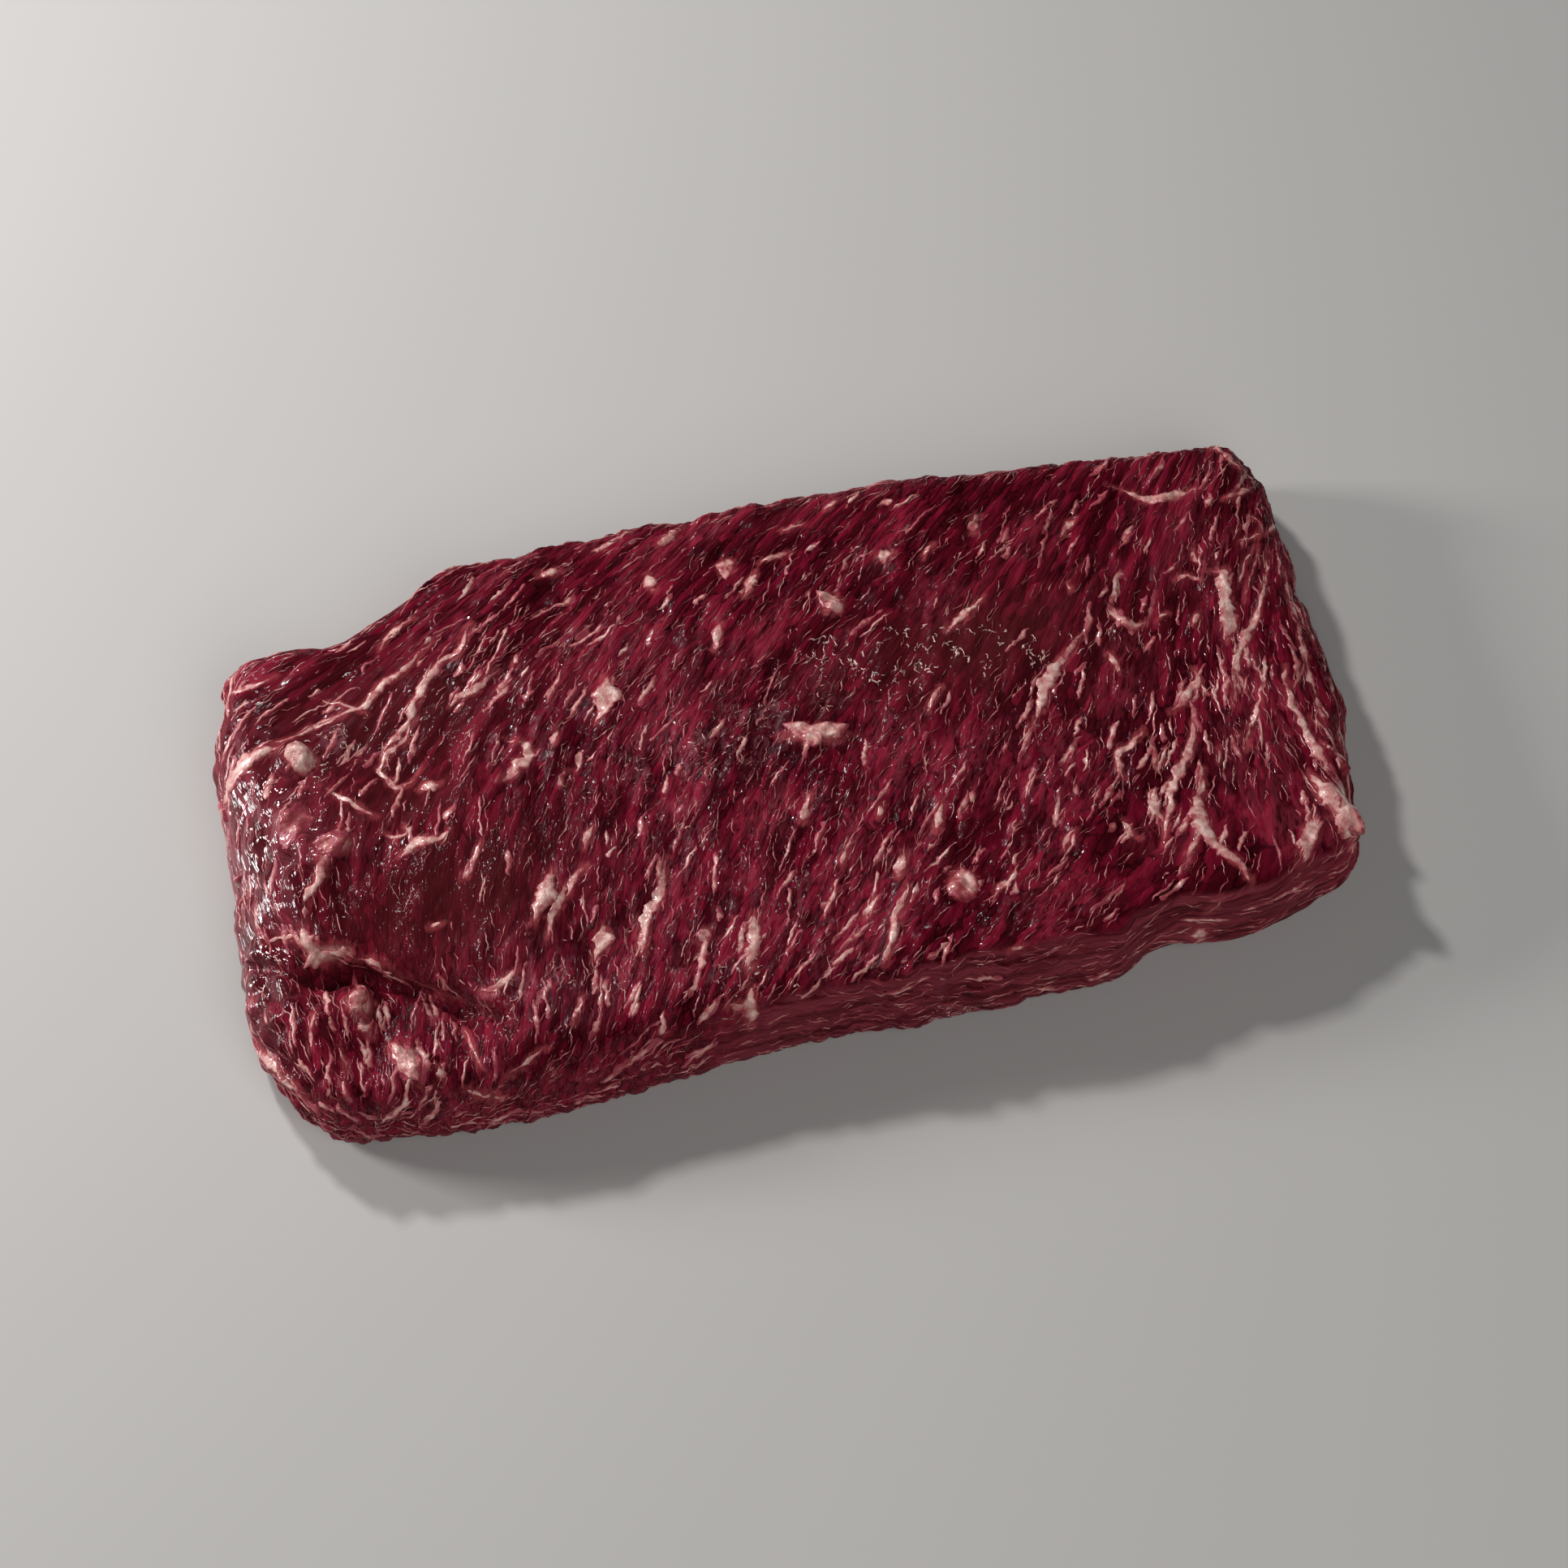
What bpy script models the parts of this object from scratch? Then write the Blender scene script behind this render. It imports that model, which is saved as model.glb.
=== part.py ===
"""A raw flank steak lying on its flat side, as one solid.

Metres, +Z up. The origin is the middle of the footprint's box, on the face it rests on.
+X runs along the steak towards its thinner end, +Y towards the long edge away from the fold.
Run with: blender --background --python part.py
"""

import math

import bpy
import bmesh
import numpy as np
from mathutils import Matrix, Vector, geometry, noise

MM = 0.001

# Driving sizes, in millimetres
LENGTH = 279.0
WIDTH = 153.0
THICKNESS = 28.0

# The slab: where its top lies on average, how high its side wall is widest, how far the resting face
# draws in under that, and how round the shoulder is (1 is a quarter of an ellipse)
TOP_LEVEL = 0.93 * THICKNESS
WAIST_HEIGHT = 0.27 * THICKNESS
UNDERCUT = 6.5
SHOULDER_RUN_POWER = 0.85
SHOULDER_RISE_POWER = 0.9

# Net density: ribs round the edge, rings up the side, and spacings in millimetres
RIBS = 176
SKIRT_RINGS = 3
SHOULDER_RINGS = 7
TOP_SPACING = 4.5
FINE_SPACING = 2.1
BASE_SPACING = 15.0
EDGE_CLEARANCE = 0.5
NET_CLEARANCE = 0.62
CURVE_STEPS = 24

# Roughness of the meat, in millimetres: crags on the edge and shoulder, bundles of fibres on the top
# in two sizes, and folds that run round the side wall
CRAG_DEPTH = 0.9
CRAG_SIZE = 9.0
CRAG_TURNOVER = 0.45
BUNDLE_WIDTH = 8.5
BUNDLE_LENGTH = 34.0
BROAD_BUNDLE_HEIGHT = 1.1
NARROW_BUNDLE_HEIGHT = 0.6
NARROW_BUNDLE_RATIO = 2.1
WALL_RIDGE_DEPTH = 0.8
WALL_RIDGE_GAP = 5.0
WALL_RIDGE_LENGTH = 30.0

# Third noise coordinate of each kind of roughness, so that no two share a pattern
CRAG_SEED = 3.7
FAT_SEED = 5.1
NARROW_BUNDLE_SEED = 1.9
WALL_RIDGE_SEED = 8.4

MEAT_COLOUR = (0.115, 0.012, 0.022, 1.0)
MEAT_ROUGHNESS = 0.35
FAT_COLOUR = (0.52, 0.27, 0.22, 1.0)
FAT_ROUGHNESS = 0.4

# The plan's outline, anticlockwise: x and y as shares of half the length and half the width,
# then how far in from the edge the top begins, in millimetres
OUTLINE = [
    # near edge, from the folded corner to the thin end's corner
    (-0.88, -0.86, 13.0),
    (-0.72, -0.92, 14.0),
    (-0.56, -0.95, 15.0),
    (-0.35, -0.94, 14.0),
    (-0.14, -0.93, 9.5),
    (0.06, -0.97, 7.0),
    (0.27, -0.99, 7.0),
    (0.41, -1.00, 6.0),
    (0.49, -0.94, 3.0),
    (0.57, -0.94, 3.0),
    (0.65, -0.965, 4.0),
    (0.74, -0.94, 6.0),
    # thin end
    (0.86, -0.87, 8.0),
    (0.895, -0.76, 10.0),
    (0.94, -0.49, 15.0),
    (0.98, -0.19, 18.0),
    (0.985, 0.14, 18.0),
    (1.00, 0.48, 16.0),
    (0.965, 0.73, 11.0),
    # far edge
    (0.76, 0.80, 12.0),
    (0.47, 0.89, 14.0),
    (0.25, 0.94, 14.0),
    (-0.05, 0.975, 15.0),
    (-0.30, 0.99, 15.0),
    (-0.47, 0.99, 13.0),
    (-0.57, 0.88, 12.0),
    (-0.70, 0.81, 13.0),
    (-0.86, 0.80, 10.0),
    # thick end
    (-0.895, 0.68, 12.0),
    (-0.94, 0.50, 16.0),
    (-0.955, 0.15, 20.0),
    (-0.975, -0.20, 20.0),
    (-0.99, -0.42, 16.0),
    (-0.975, -0.60, 14.0),
    (-0.935, -0.76, 13.0),
]

# Broad swells and hollows of the top: middle in shares, then half widths and height in millimetres
SWELLS = [
    ("dome beside the fold", (-0.62, -0.26), (30.0, 20.0), 2.4),
    ("shoulder over the thick end", (-0.80, 0.15), (14.0, 24.0), 2.0),
    ("middle of the steak", (0.10, 0.10), (70.0, 34.0), 1.2),
    ("near lip", (0.38, -0.84), (48.0, 9.0), 1.6),
    ("lobe below the fold", (-0.78, -0.72), (20.0, 9.0), -4.2),
    ("valley behind the shoulder", (-0.62, 0.30), (16.0, 12.0), -2.2),
    ("pocket in the fold", (-0.835, -0.42), (7.5, 4.5), -3.6),
    ("dip above the centre chip", (0.10, 0.16), (22.0, 9.0), -1.3),
    ("far edge dip", (-0.20, 0.78), (26.0, 8.0), -1.6),
    ("far corner dip", (0.72, 0.58), (20.0, 9.0), -1.5),
    ("near valley", (-0.40, -0.66), (14.0, 18.0), -1.6),
]
THIN_END_DROP = 3.5
THIN_END_START = 0.30

# The fold by the near corner of the thick end: its line in shares, then its size in millimetres
FOLD_LINE = [
    (-0.975, -0.16),
    (-0.89, -0.29),
    (-0.81, -0.41),
    (-0.73, -0.50),
    (-0.65, -0.61),
    (-0.55, -0.72),
]
FOLD_DEPTH = 5.0
FOLD_WIDTH = 2.8
FOLD_STEP = 5.4
FOLD_STEP_REACH = 13.0
FOLD_FADE_IN = 0.15
FOLD_FADE_OUT = 0.75

# Where the bundles of fibres stand highest: middle in shares, half widths in millimetres, extra share
COARSE_BUNDLES = ((-0.74, -0.72), (32.0, 22.0), 0.9)

# Which way the muscle fibres run: place in shares, then the angle from +X in degrees
GRAIN = [
    ((-0.80, -0.72), 79.0),
    ((-0.44, -0.65), 65.0),
    ((-0.07, -0.40), 54.0),
    ((0.00, 0.40), 49.0),
    ((-0.58, 0.58), 30.0),
    ((-0.80, 0.65), 14.0),
    ((-0.28, 0.80), 34.0),
    ((0.43, 0.78), 38.0),
    ((0.50, 0.13), 43.0),
    ((0.65, -0.40), 60.0),
    ((0.90, 0.00), 86.0),
    ((0.92, -0.46), 97.0),
    ((0.80, 0.58), 48.0),
    ((0.43, -0.78), 48.0),
    ((-0.92, 0.00), 80.0),
    ((-0.70, 0.10), 62.0),
]

# Fat that stands on the top: name, middle in shares, half sizes in millimetres, turn in degrees and height
SURFACE_FAT = [
    ("knob at the thick end", (-0.805, 0.345), (5.6, 4.4), 60.0, 3.0),
    ("arm of the knob", (-0.865, 0.42), (6.5, 3.0), 20.0, 1.8),
    ("rough patch below the knob", (-0.85, 0.13), (8.5, 4.4), 70.0, 2.0),
    ("upright flap", (-0.79, -0.03), (6.8, 3.8), 30.0, 3.2),
    ("back of the flap", (-0.825, 0.01), (5.0, 3.2), 120.0, 2.0),
    ("tail of the flap", (-0.84, -0.17), (8.5, 2.0), 66.0, 1.8),
    ("seam along the fold", (-0.855, -0.315), (8.0, 2.6), -24.0, 2.0),
    ("lump in the fold", (-0.81, -0.52), (5.2, 3.8), 62.0, 3.6),
    ("scrap below the lump", (-0.82, -0.62), (3.2, 2.4), 0.0, 1.8),
    ("streak on the lobe", (-0.765, -0.74), (8.0, 2.8), 102.0, 1.8),
    ("centre chip", (0.045, -0.06), (7.4, 2.9), 8.0, 1.5),
    ("corner of the centre chip", (0.035, -0.10), (3.4, 2.4), 40.0, 1.3),
    ("far chip", (0.15, 0.41), (5.2, 2.6), 118.0, 1.4),
    ("near chip", (0.18, -0.71), (6.6, 3.4), 52.0, 1.1),
    ("left chip", (-0.45, 0.13), (6.4, 2.8), 52.0, 1.0),
]
FINE_MARGIN = 2.5

# A deposit's edge: how uneven its outline is, over what length, and where its side starts and ends
FAT_UNEVENNESS = 0.22
FAT_UNEVEN_SIZE = 3.2
FAT_SIDE_START = 0.55
FAT_SIDE_END = 1.2

# Loose ends fused on where the slab's own surface can't reach: name, middle in shares, height of the
# middle above the resting face, half sizes, turn in degrees, slope in degrees, and whether it is fat
LOOSE_ENDS = [
    ("hanging tip", (0.850, -0.700), 21.0, (12.5, 3.4, 3.8), 106.0, -10.0, True),
    ("root of the hanging tip", (0.885, -0.52), 20.5, (9.0, 2.4, 2.6), 112.0, 0.0, True),
    ("far corner peak", (0.925, 0.625), 20.5, (6.5, 3.2, 3.2), 118.0, 0.0, True),
    ("far corner nub", (-0.865, 0.735), 15.5, (4.6, 4.0, 5.0), 30.0, 20.0, False),
    ("far edge bump", (-0.475, 0.905), 18.5, (7.5, 4.0, 4.2), 20.0, 0.0, False),
    ("scrap under the lip", (0.565, -0.935), 8.0, (4.2, 2.6, 2.4), 15.0, 0.0, True),
    ("strip round the near corner", (-0.950, -0.640), 8.5, (11.0, 2.2, 3.0), -66.0, 6.0, True),
    ("bead on the thick end", (-0.935, 0.10), 11.0, (3.2, 2.8, 2.6), 80.0, 0.0, True),
    ("second bead", (-0.952, -0.01), 9.0, (2.6, 2.4, 2.2), 80.0, 0.0, True),
]

# Unevenness of a loose end, as shares of its size: (noise frequency, share) for each of two sizes
LUMP_UNEVENNESS = ((1.3, 0.30), (3.1, 0.14))
LONG_LUMP = 7.0


def plan(share):
    """A place in the plan, in millimetres, from its shares of half the length and half the width."""
    return np.array([share[0] * LENGTH / 2, share[1] * WIDTH / 2])


def grain_terms(x, y):
    """The terms of a cubic in x and y, and their slopes, for the fibre coordinates."""
    zero, one = np.zeros_like(x), np.ones_like(x)
    value = [x, y, x * x, x * y, y * y, x**3, x * x * y, x * y * y, y**3]
    slope_x = [one, zero, 2 * x, y, zero, 3 * x * x, 2 * x * y, y * y, zero]
    slope_y = [zero, one, zero, x, 2 * y, zero, x * x, 2 * x * y, 3 * y * y]
    return np.array(value), np.array(slope_x), np.array(slope_y)


def fit_grain():
    """Two cubics whose slopes follow the fibres and cross them, fitted to the GRAIN strokes."""
    x, y = np.array([share for share, _ in GRAIN]).T
    turn = np.radians([angle for _, angle in GRAIN])
    _, slope_x, slope_y = grain_terms(x, y)
    rows = np.hstack([slope_x * 2 / LENGTH, slope_y * 2 / WIDTH]).T
    along = np.concatenate([np.cos(turn), np.sin(turn)])
    across = np.concatenate([-np.sin(turn), np.cos(turn)])
    return (
        np.linalg.lstsq(rows, along, rcond=None)[0],
        np.linalg.lstsq(rows, across, rcond=None)[0],
    )


GRAIN_ALONG, GRAIN_ACROSS = fit_grain()


def grain_place(x, y):
    """How far a place lies along the fibres and across them, in millimetres."""
    value, _, _ = grain_terms(np.array(x * 2 / LENGTH), np.array(y * 2 / WIDTH))
    return float(GRAIN_ALONG @ value), float(GRAIN_ACROSS @ value)


def smooth_step(low, high, value):
    """0 below low, 1 above high, with an S-shaped rise between."""
    t = min(max((value - low) / (high - low), 0.0), 1.0)
    return t * t * (3 - 2 * t)


def fold_place(x, y):
    """Signed distance from the fold's line, positive on the lobe's side, and how far along it, 0 to 1."""
    best = (1e9, 0.0, 0.0)
    stretches = len(FOLD_LINE) - 1
    here = np.array([x, y])
    for k in range(stretches):
        start, end = plan(FOLD_LINE[k]), plan(FOLD_LINE[k + 1])
        run = end - start
        t = min(max(float((here - start) @ run / (run @ run)), 0.0), 1.0)
        gap = here - (start + t * run)
        side = 1.0 if run[0] * gap[1] - run[1] * gap[0] < 0 else -1.0
        distance = float(np.hypot(*gap))
        if distance < best[0]:
            best = (distance, side, (k + t) / stretches)
    return best[0] * best[1], best[2]


def fold_height(x, y):
    """The groove of the fold and the drop from the dome above it to the lobe below it."""
    distance, share = fold_place(x, y)
    fade = smooth_step(0.0, FOLD_FADE_IN, share) * (1 - smooth_step(FOLD_FADE_OUT, 1.0, share))
    groove = FOLD_DEPTH * math.exp(-((distance / FOLD_WIDTH) ** 2))
    beyond = max(distance, 0.0)
    step = FOLD_STEP * smooth_step(0.0, FOLD_WIDTH, distance) * math.exp(-beyond / FOLD_STEP_REACH)
    return -fade * (groove + step)


def bundle_height(x, y):
    """Low ridges where bundles of muscle fibres lie side by side."""
    along, across = grain_place(x, y)
    place = Vector((along / BUNDLE_LENGTH, across / BUNDLE_WIDTH, 0.0))
    ridges = BROAD_BUNDLE_HEIGHT * noise.noise(place)
    narrow_place = place * NARROW_BUNDLE_RATIO + Vector((0.0, 0.0, NARROW_BUNDLE_SEED))
    ridges += NARROW_BUNDLE_HEIGHT * noise.noise(narrow_place)
    share, half, extra = COARSE_BUNDLES
    middle = plan(share)
    reach = ((x - middle[0]) / half[0]) ** 2 + ((y - middle[1]) / half[1]) ** 2
    return ridges * (1 + extra * math.exp(-reach))


def fat_reach(x, y, share, half, turn):
    """How far a place is from the middle of a deposit: 1 on its uneven edge."""
    middle = plan(share)
    across, up = x - middle[0], y - middle[1]
    spin = math.radians(turn)
    along = (across * math.cos(spin) + up * math.sin(spin)) / half[0]
    beside = (up * math.cos(spin) - across * math.sin(spin)) / half[1]
    uneven = noise.noise(Vector((x / FAT_UNEVEN_SIZE, y / FAT_UNEVEN_SIZE, FAT_SEED)))
    return math.hypot(along, beside) + FAT_UNEVENNESS * uneven


def fat_height(x, y):
    """The deposits that stand on the top: steep at the edge and flat above."""
    tallest = 0.0
    for _, share, half, turn, rise in SURFACE_FAT:
        reach = fat_reach(x, y, share, half, turn)
        tallest = max(tallest, rise * (1 - smooth_step(FAT_SIDE_START, FAT_SIDE_END, reach)))
    return tallest


def needs_fine_net(x, y):
    """True on and beside the deposits and the fold, where the net of triangles is finer."""
    for _, share, half, turn, _ in SURFACE_FAT:
        wider = [size + FINE_MARGIN for size in half]
        if fat_reach(x, y, share, wider, turn) < 1.0:
            return True
    distance, share = fold_place(x, y)
    return 0.0 < share < 1.0 and abs(distance) < FOLD_WIDTH + FINE_MARGIN


def top_height(x, y):
    """Height of the upper face above the resting face, in millimetres."""
    height = TOP_LEVEL
    for _, share, half, rise in SWELLS:
        middle = plan(share)
        reach = ((x - middle[0]) / half[0]) ** 2 + ((y - middle[1]) / half[1]) ** 2
        height += rise * math.exp(-reach)
    height -= THIN_END_DROP * smooth_step(THIN_END_START, 1.0, x * 2 / LENGTH)
    return height + fold_height(x, y) + bundle_height(x, y) + fat_height(x, y)


def spline(points, samples):
    """A closed Catmull-Rom curve through the points, sampled evenly by length in the plan."""
    points = np.array(points)
    steps = np.linspace(0.0, 1.0, CURVE_STEPS, endpoint=False)[:, None]
    count = len(points)
    stretches = []
    for k in range(count):
        a, b, c, d = (points[(k + offset) % count] for offset in (-1, 0, 1, 2))
        linear = c - a
        square = 2 * a - 5 * b + 4 * c - d
        cube = 3 * b - a - 3 * c + d
        stretches.append(0.5 * (2 * b + linear * steps + square * steps**2 + cube * steps**3))
    curve = np.vstack(stretches + [stretches[0][:1]])
    lengths = np.hypot(*np.diff(curve[:, :2], axis=0).T)
    travelled = np.concatenate([[0.0], np.cumsum(lengths)])
    wanted = np.linspace(0.0, travelled[-1], samples, endpoint=False)
    return np.array([np.interp(wanted, travelled, column) for column in curve.T]).T


def edge_line():
    """The widest outline with its crags, the inward direction at each rib, and the top's inset there."""
    control = [(*plan(row[:2]), row[2]) for row in OUTLINE]
    samples = spline(control, RIBS)
    place, inset = samples[:, :2], samples[:, 2]
    spine_end = (LENGTH - WIDTH) / 2
    spine = np.array([np.clip(place[:, 0], -spine_end, spine_end), np.zeros(RIBS)]).T
    inward = spine - place
    inward /= np.linalg.norm(inward, axis=1)[:, None]
    for rib in range(RIBS):
        crag = noise.noise(Vector((*(place[rib] / CRAG_SIZE), CRAG_SEED)))
        place[rib] -= inward[rib] * CRAG_DEPTH * crag
    return place, inward, inset


def wall_ridge(travelled, height):
    """How far a fold of the side wall stands out, a distance along the edge and at a height."""
    place = Vector((travelled / WALL_RIDGE_LENGTH, height / WALL_RIDGE_GAP, WALL_RIDGE_SEED))
    return WALL_RIDGE_DEPTH * noise.noise(place)


def add_ring(mesh, places, heights):
    """A ring of vertices, from places in the plan and heights in millimetres."""
    return [mesh.verts.new((x * MM, y * MM, z * MM)) for (x, y), z in zip(places, heights)]


def side_rings(mesh):
    """The rings of the side wall, from the resting face up over the shoulder to where the top begins."""
    place, inward, inset = edge_line()
    travelled = np.cumsum(np.hypot(*(place - np.roll(place, 1, axis=0)).T))
    rings = []
    for k in range(SKIRT_RINGS):
        turn = math.pi / 2 * k / SKIRT_RINGS
        draw_in = UNDERCUT * (1 - math.sin(turn))
        height = WAIST_HEIGHT * (1 - math.cos(turn))
        ridge = np.array([wall_ridge(length, height) for length in travelled]) * math.sin(turn)
        rings.append(add_ring(mesh, place + inward * (draw_in - ridge)[:, None], [height] * RIBS))
    for k in range(SHOULDER_RINGS + 1):
        turn = math.pi / 2 * k / SHOULDER_RINGS
        draw_in = inset * (1 - math.cos(turn) ** SHOULDER_RUN_POWER)
        ring_place = place + inward * draw_in[:, None]
        rise = math.sin(turn) ** SHOULDER_RISE_POWER
        heights = []
        for rib in range(RIBS):
            full = top_height(*ring_place[rib]) - WAIST_HEIGHT
            height = WAIST_HEIGHT + full * rise
            crag = noise.noise(Vector((*(ring_place[rib] / CRAG_SIZE), k * CRAG_TURNOVER)))
            stand_out = CRAG_DEPTH * crag * math.sin(2 * turn)
            stand_out += wall_ridge(travelled[rib], height) * math.cos(turn)
            ring_place[rib] -= inward[rib] * stand_out
            heights.append(height)
        rings.append(add_ring(mesh, ring_place, heights))
    return rings


def join_rings(mesh, lower, upper):
    """A band of faces between two rings, facing outwards."""
    count = len(lower)
    for k in range(count):
        after = (k + 1) % count
        mesh.faces.new((lower[k], lower[after], upper[after], upper[k]))


def inside(polygon, places):
    """Which places lie inside a closed polygon, by counting the edges that a ray crosses."""
    found = np.zeros(len(places), bool)
    for a, b in zip(polygon, np.roll(polygon, -1, axis=0)):
        spans = (a[1] > places[:, 1]) != (b[1] > places[:, 1])
        rise = b[1] - a[1] if b[1] != a[1] else 1.0
        crossing = a[0] + (places[:, 1] - a[1]) / rise * (b[0] - a[0])
        found ^= spans & (places[:, 0] < crossing)
    return found


def hex_net(low, high, spacing):
    """Places in a triangular grid that covers a box in the plan."""
    places = []
    for row, y in enumerate(np.arange(low[1], high[1], spacing * math.sqrt(3) / 2)):
        shift = spacing / 2 * (row % 2)
        places += [(x, y) for x in np.arange(low[0] + shift, high[0], spacing)]
    return np.array(places)


def clear_of(places, others, gap):
    """The places that stand at least a gap away from all the others."""
    nearest = np.array([np.min(np.hypot(*(others - place).T)) for place in places])
    return places[nearest > gap]


def top_net(edge):
    """Inner places of the top's net: fine on the deposits and along the fold, and open elsewhere."""
    low, high = edge.min(axis=0), edge.max(axis=0)
    fine = hex_net(low, high, FINE_SPACING)
    fine = fine[inside(edge, fine)]
    fine = fine[[needs_fine_net(x, y) for x, y in fine]]
    fine = clear_of(fine, edge, EDGE_CLEARANCE * TOP_SPACING)
    open_net = hex_net(low, high, TOP_SPACING)
    open_net = open_net[inside(edge, open_net)]
    open_net = clear_of(open_net, np.vstack([edge, fine]), NET_CLEARANCE * TOP_SPACING)
    return np.vstack([fine, open_net])


def base_net(edge):
    """Inner places of the resting face's net."""
    net = hex_net(edge.min(axis=0), edge.max(axis=0), BASE_SPACING)
    return clear_of(net[inside(edge, net)], edge, EDGE_CLEARANCE * BASE_SPACING)


def fill_cap(mesh, ring, net_inside, height_at, upwards):
    """Closes a ring with triangles through its own vertices and the places of a net inside it."""
    edge = np.array([vertex.co[:2] for vertex in ring]) / MM
    net = net_inside(edge)
    rim = [(k, (k + 1) % len(ring)) for k in range(len(ring))]
    flat = [Vector(place) for place in np.vstack([edge, net])]
    _, _, faces, origins, _, _ = geometry.delaunay_2d_cdt(flat, rim, [], 1, 1e-6)
    corners = list(ring)
    for x, y in net:
        corners.append(mesh.verts.new((x * MM, y * MM, height_at(x, y) * MM)))
    for face in faces:
        picked = [corners[origins[k][0]] for k in face]
        mesh.faces.new(picked if upwards else picked[::-1])


def make_object(name, mesh, material):
    """A named object in the scene from a finished bmesh."""
    data = bpy.data.meshes.new(name)
    mesh.to_mesh(data)
    mesh.free()
    data.materials.append(material)
    made = bpy.data.objects.new(name, data)
    bpy.context.scene.collection.objects.link(made)
    return made


def make_material(name, colour, roughness):
    """A plain Principled BSDF of one colour."""
    material = bpy.data.materials.new(name)
    material.use_nodes = True
    shader = material.node_tree.nodes["Principled BSDF"]
    shader.inputs["Base Color"].default_value = colour
    shader.inputs["Roughness"].default_value = roughness
    shader.inputs["Metallic"].default_value = 0.0
    return material


def make_slab(material):
    """The lean slab: its side wall, its modelled top and the flat face it rests on."""
    mesh = bmesh.new()
    rings = side_rings(mesh)
    for lower, upper in zip(rings, rings[1:]):
        join_rings(mesh, lower, upper)
    fill_cap(mesh, rings[-1], top_net, top_height, upwards=True)
    fill_cap(mesh, rings[0], base_net, lambda x, y: 0.0, upwards=False)
    return make_object("steak", mesh, material)


def make_loose_end(name, share, height, half, turn, slope, material):
    """One uneven lump of fat or meat, half sunk in the slab, by the row of LOOSE_ENDS it comes from."""
    mesh = bmesh.new()
    finer = 3 if half[0] > LONG_LUMP else 2
    bmesh.ops.create_icosphere(mesh, subdivisions=finer, radius=1.0)
    middle = Vector((*plan(share), height))
    for vertex in mesh.verts:
        uneven = 1.0
        for frequency, share_of_size in LUMP_UNEVENNESS:
            uneven += share_of_size * noise.noise(vertex.co * frequency + middle)
        vertex.co = Vector([c * size for c, size in zip(vertex.co, half)]) * uneven
    tilt = Matrix.Rotation(math.radians(-slope), 4, "Y")
    spin = Matrix.Rotation(math.radians(turn), 4, "Z")
    bmesh.ops.transform(mesh, matrix=Matrix.Translation(middle) @ spin @ tilt, verts=mesh.verts)
    bmesh.ops.scale(mesh, vec=(MM, MM, MM), verts=mesh.verts)
    return make_object(name.replace(" ", "_"), mesh, material)


def fuse(slab, lumps):
    """Joins the lumps to the slab with one Boolean union, and removes them."""
    group = bpy.data.collections.new("lumps")
    bpy.context.scene.collection.children.link(group)
    for lump in lumps:
        bpy.context.scene.collection.objects.unlink(lump)
        group.objects.link(lump)
    union = slab.modifiers.new("fuse", "BOOLEAN")
    union.operation = "UNION"
    union.operand_type = "COLLECTION"
    union.collection = group
    union.solver = "EXACT"
    union.material_mode = "TRANSFER"
    graph = bpy.context.evaluated_depsgraph_get()
    fused = bpy.data.meshes.new_from_object(slab.evaluated_get(graph), depsgraph=graph)
    slab.modifiers.clear()
    slab.data = fused
    for lump in lumps:
        bpy.data.objects.remove(lump)
    bpy.data.collections.remove(group)


def stand_on_origin(slab):
    """Moves the mesh so that the origin is the middle of its box, at the bottom."""
    corners = np.array([vertex.co for vertex in slab.data.vertices])
    middle = (corners.min(axis=0) + corners.max(axis=0)) / 2
    slab.data.transform(Matrix.Translation((-middle[0], -middle[1], -corners[:, 2].min())))


def main():
    for old in list(bpy.data.objects):
        bpy.data.objects.remove(old)
    meat = make_material("raw_lean_beef", MEAT_COLOUR, MEAT_ROUGHNESS)
    fat = make_material("raw_beef_fat", FAT_COLOUR, FAT_ROUGHNESS)
    slab = make_slab(meat)
    lumps = []
    for *shape, is_fat in LOOSE_ENDS:
        lumps.append(make_loose_end(*shape, fat if is_fat else meat))
    fuse(slab, lumps)
    stand_on_origin(slab)
    slab.data.shade_smooth()


main()
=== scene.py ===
# %% [markdown]
# # A raw flank steak
# This lesson dresses one solid, a flank steak lying on its flat side, so that it looks like wet raw beef.
# The solid gives the place and the size. Each step below adds one thing that the eye looks for in
# raw meat: bundles of fibres, streaks and lumps of fat, thin threads of connective tissue, and the wet gloss.

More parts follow.
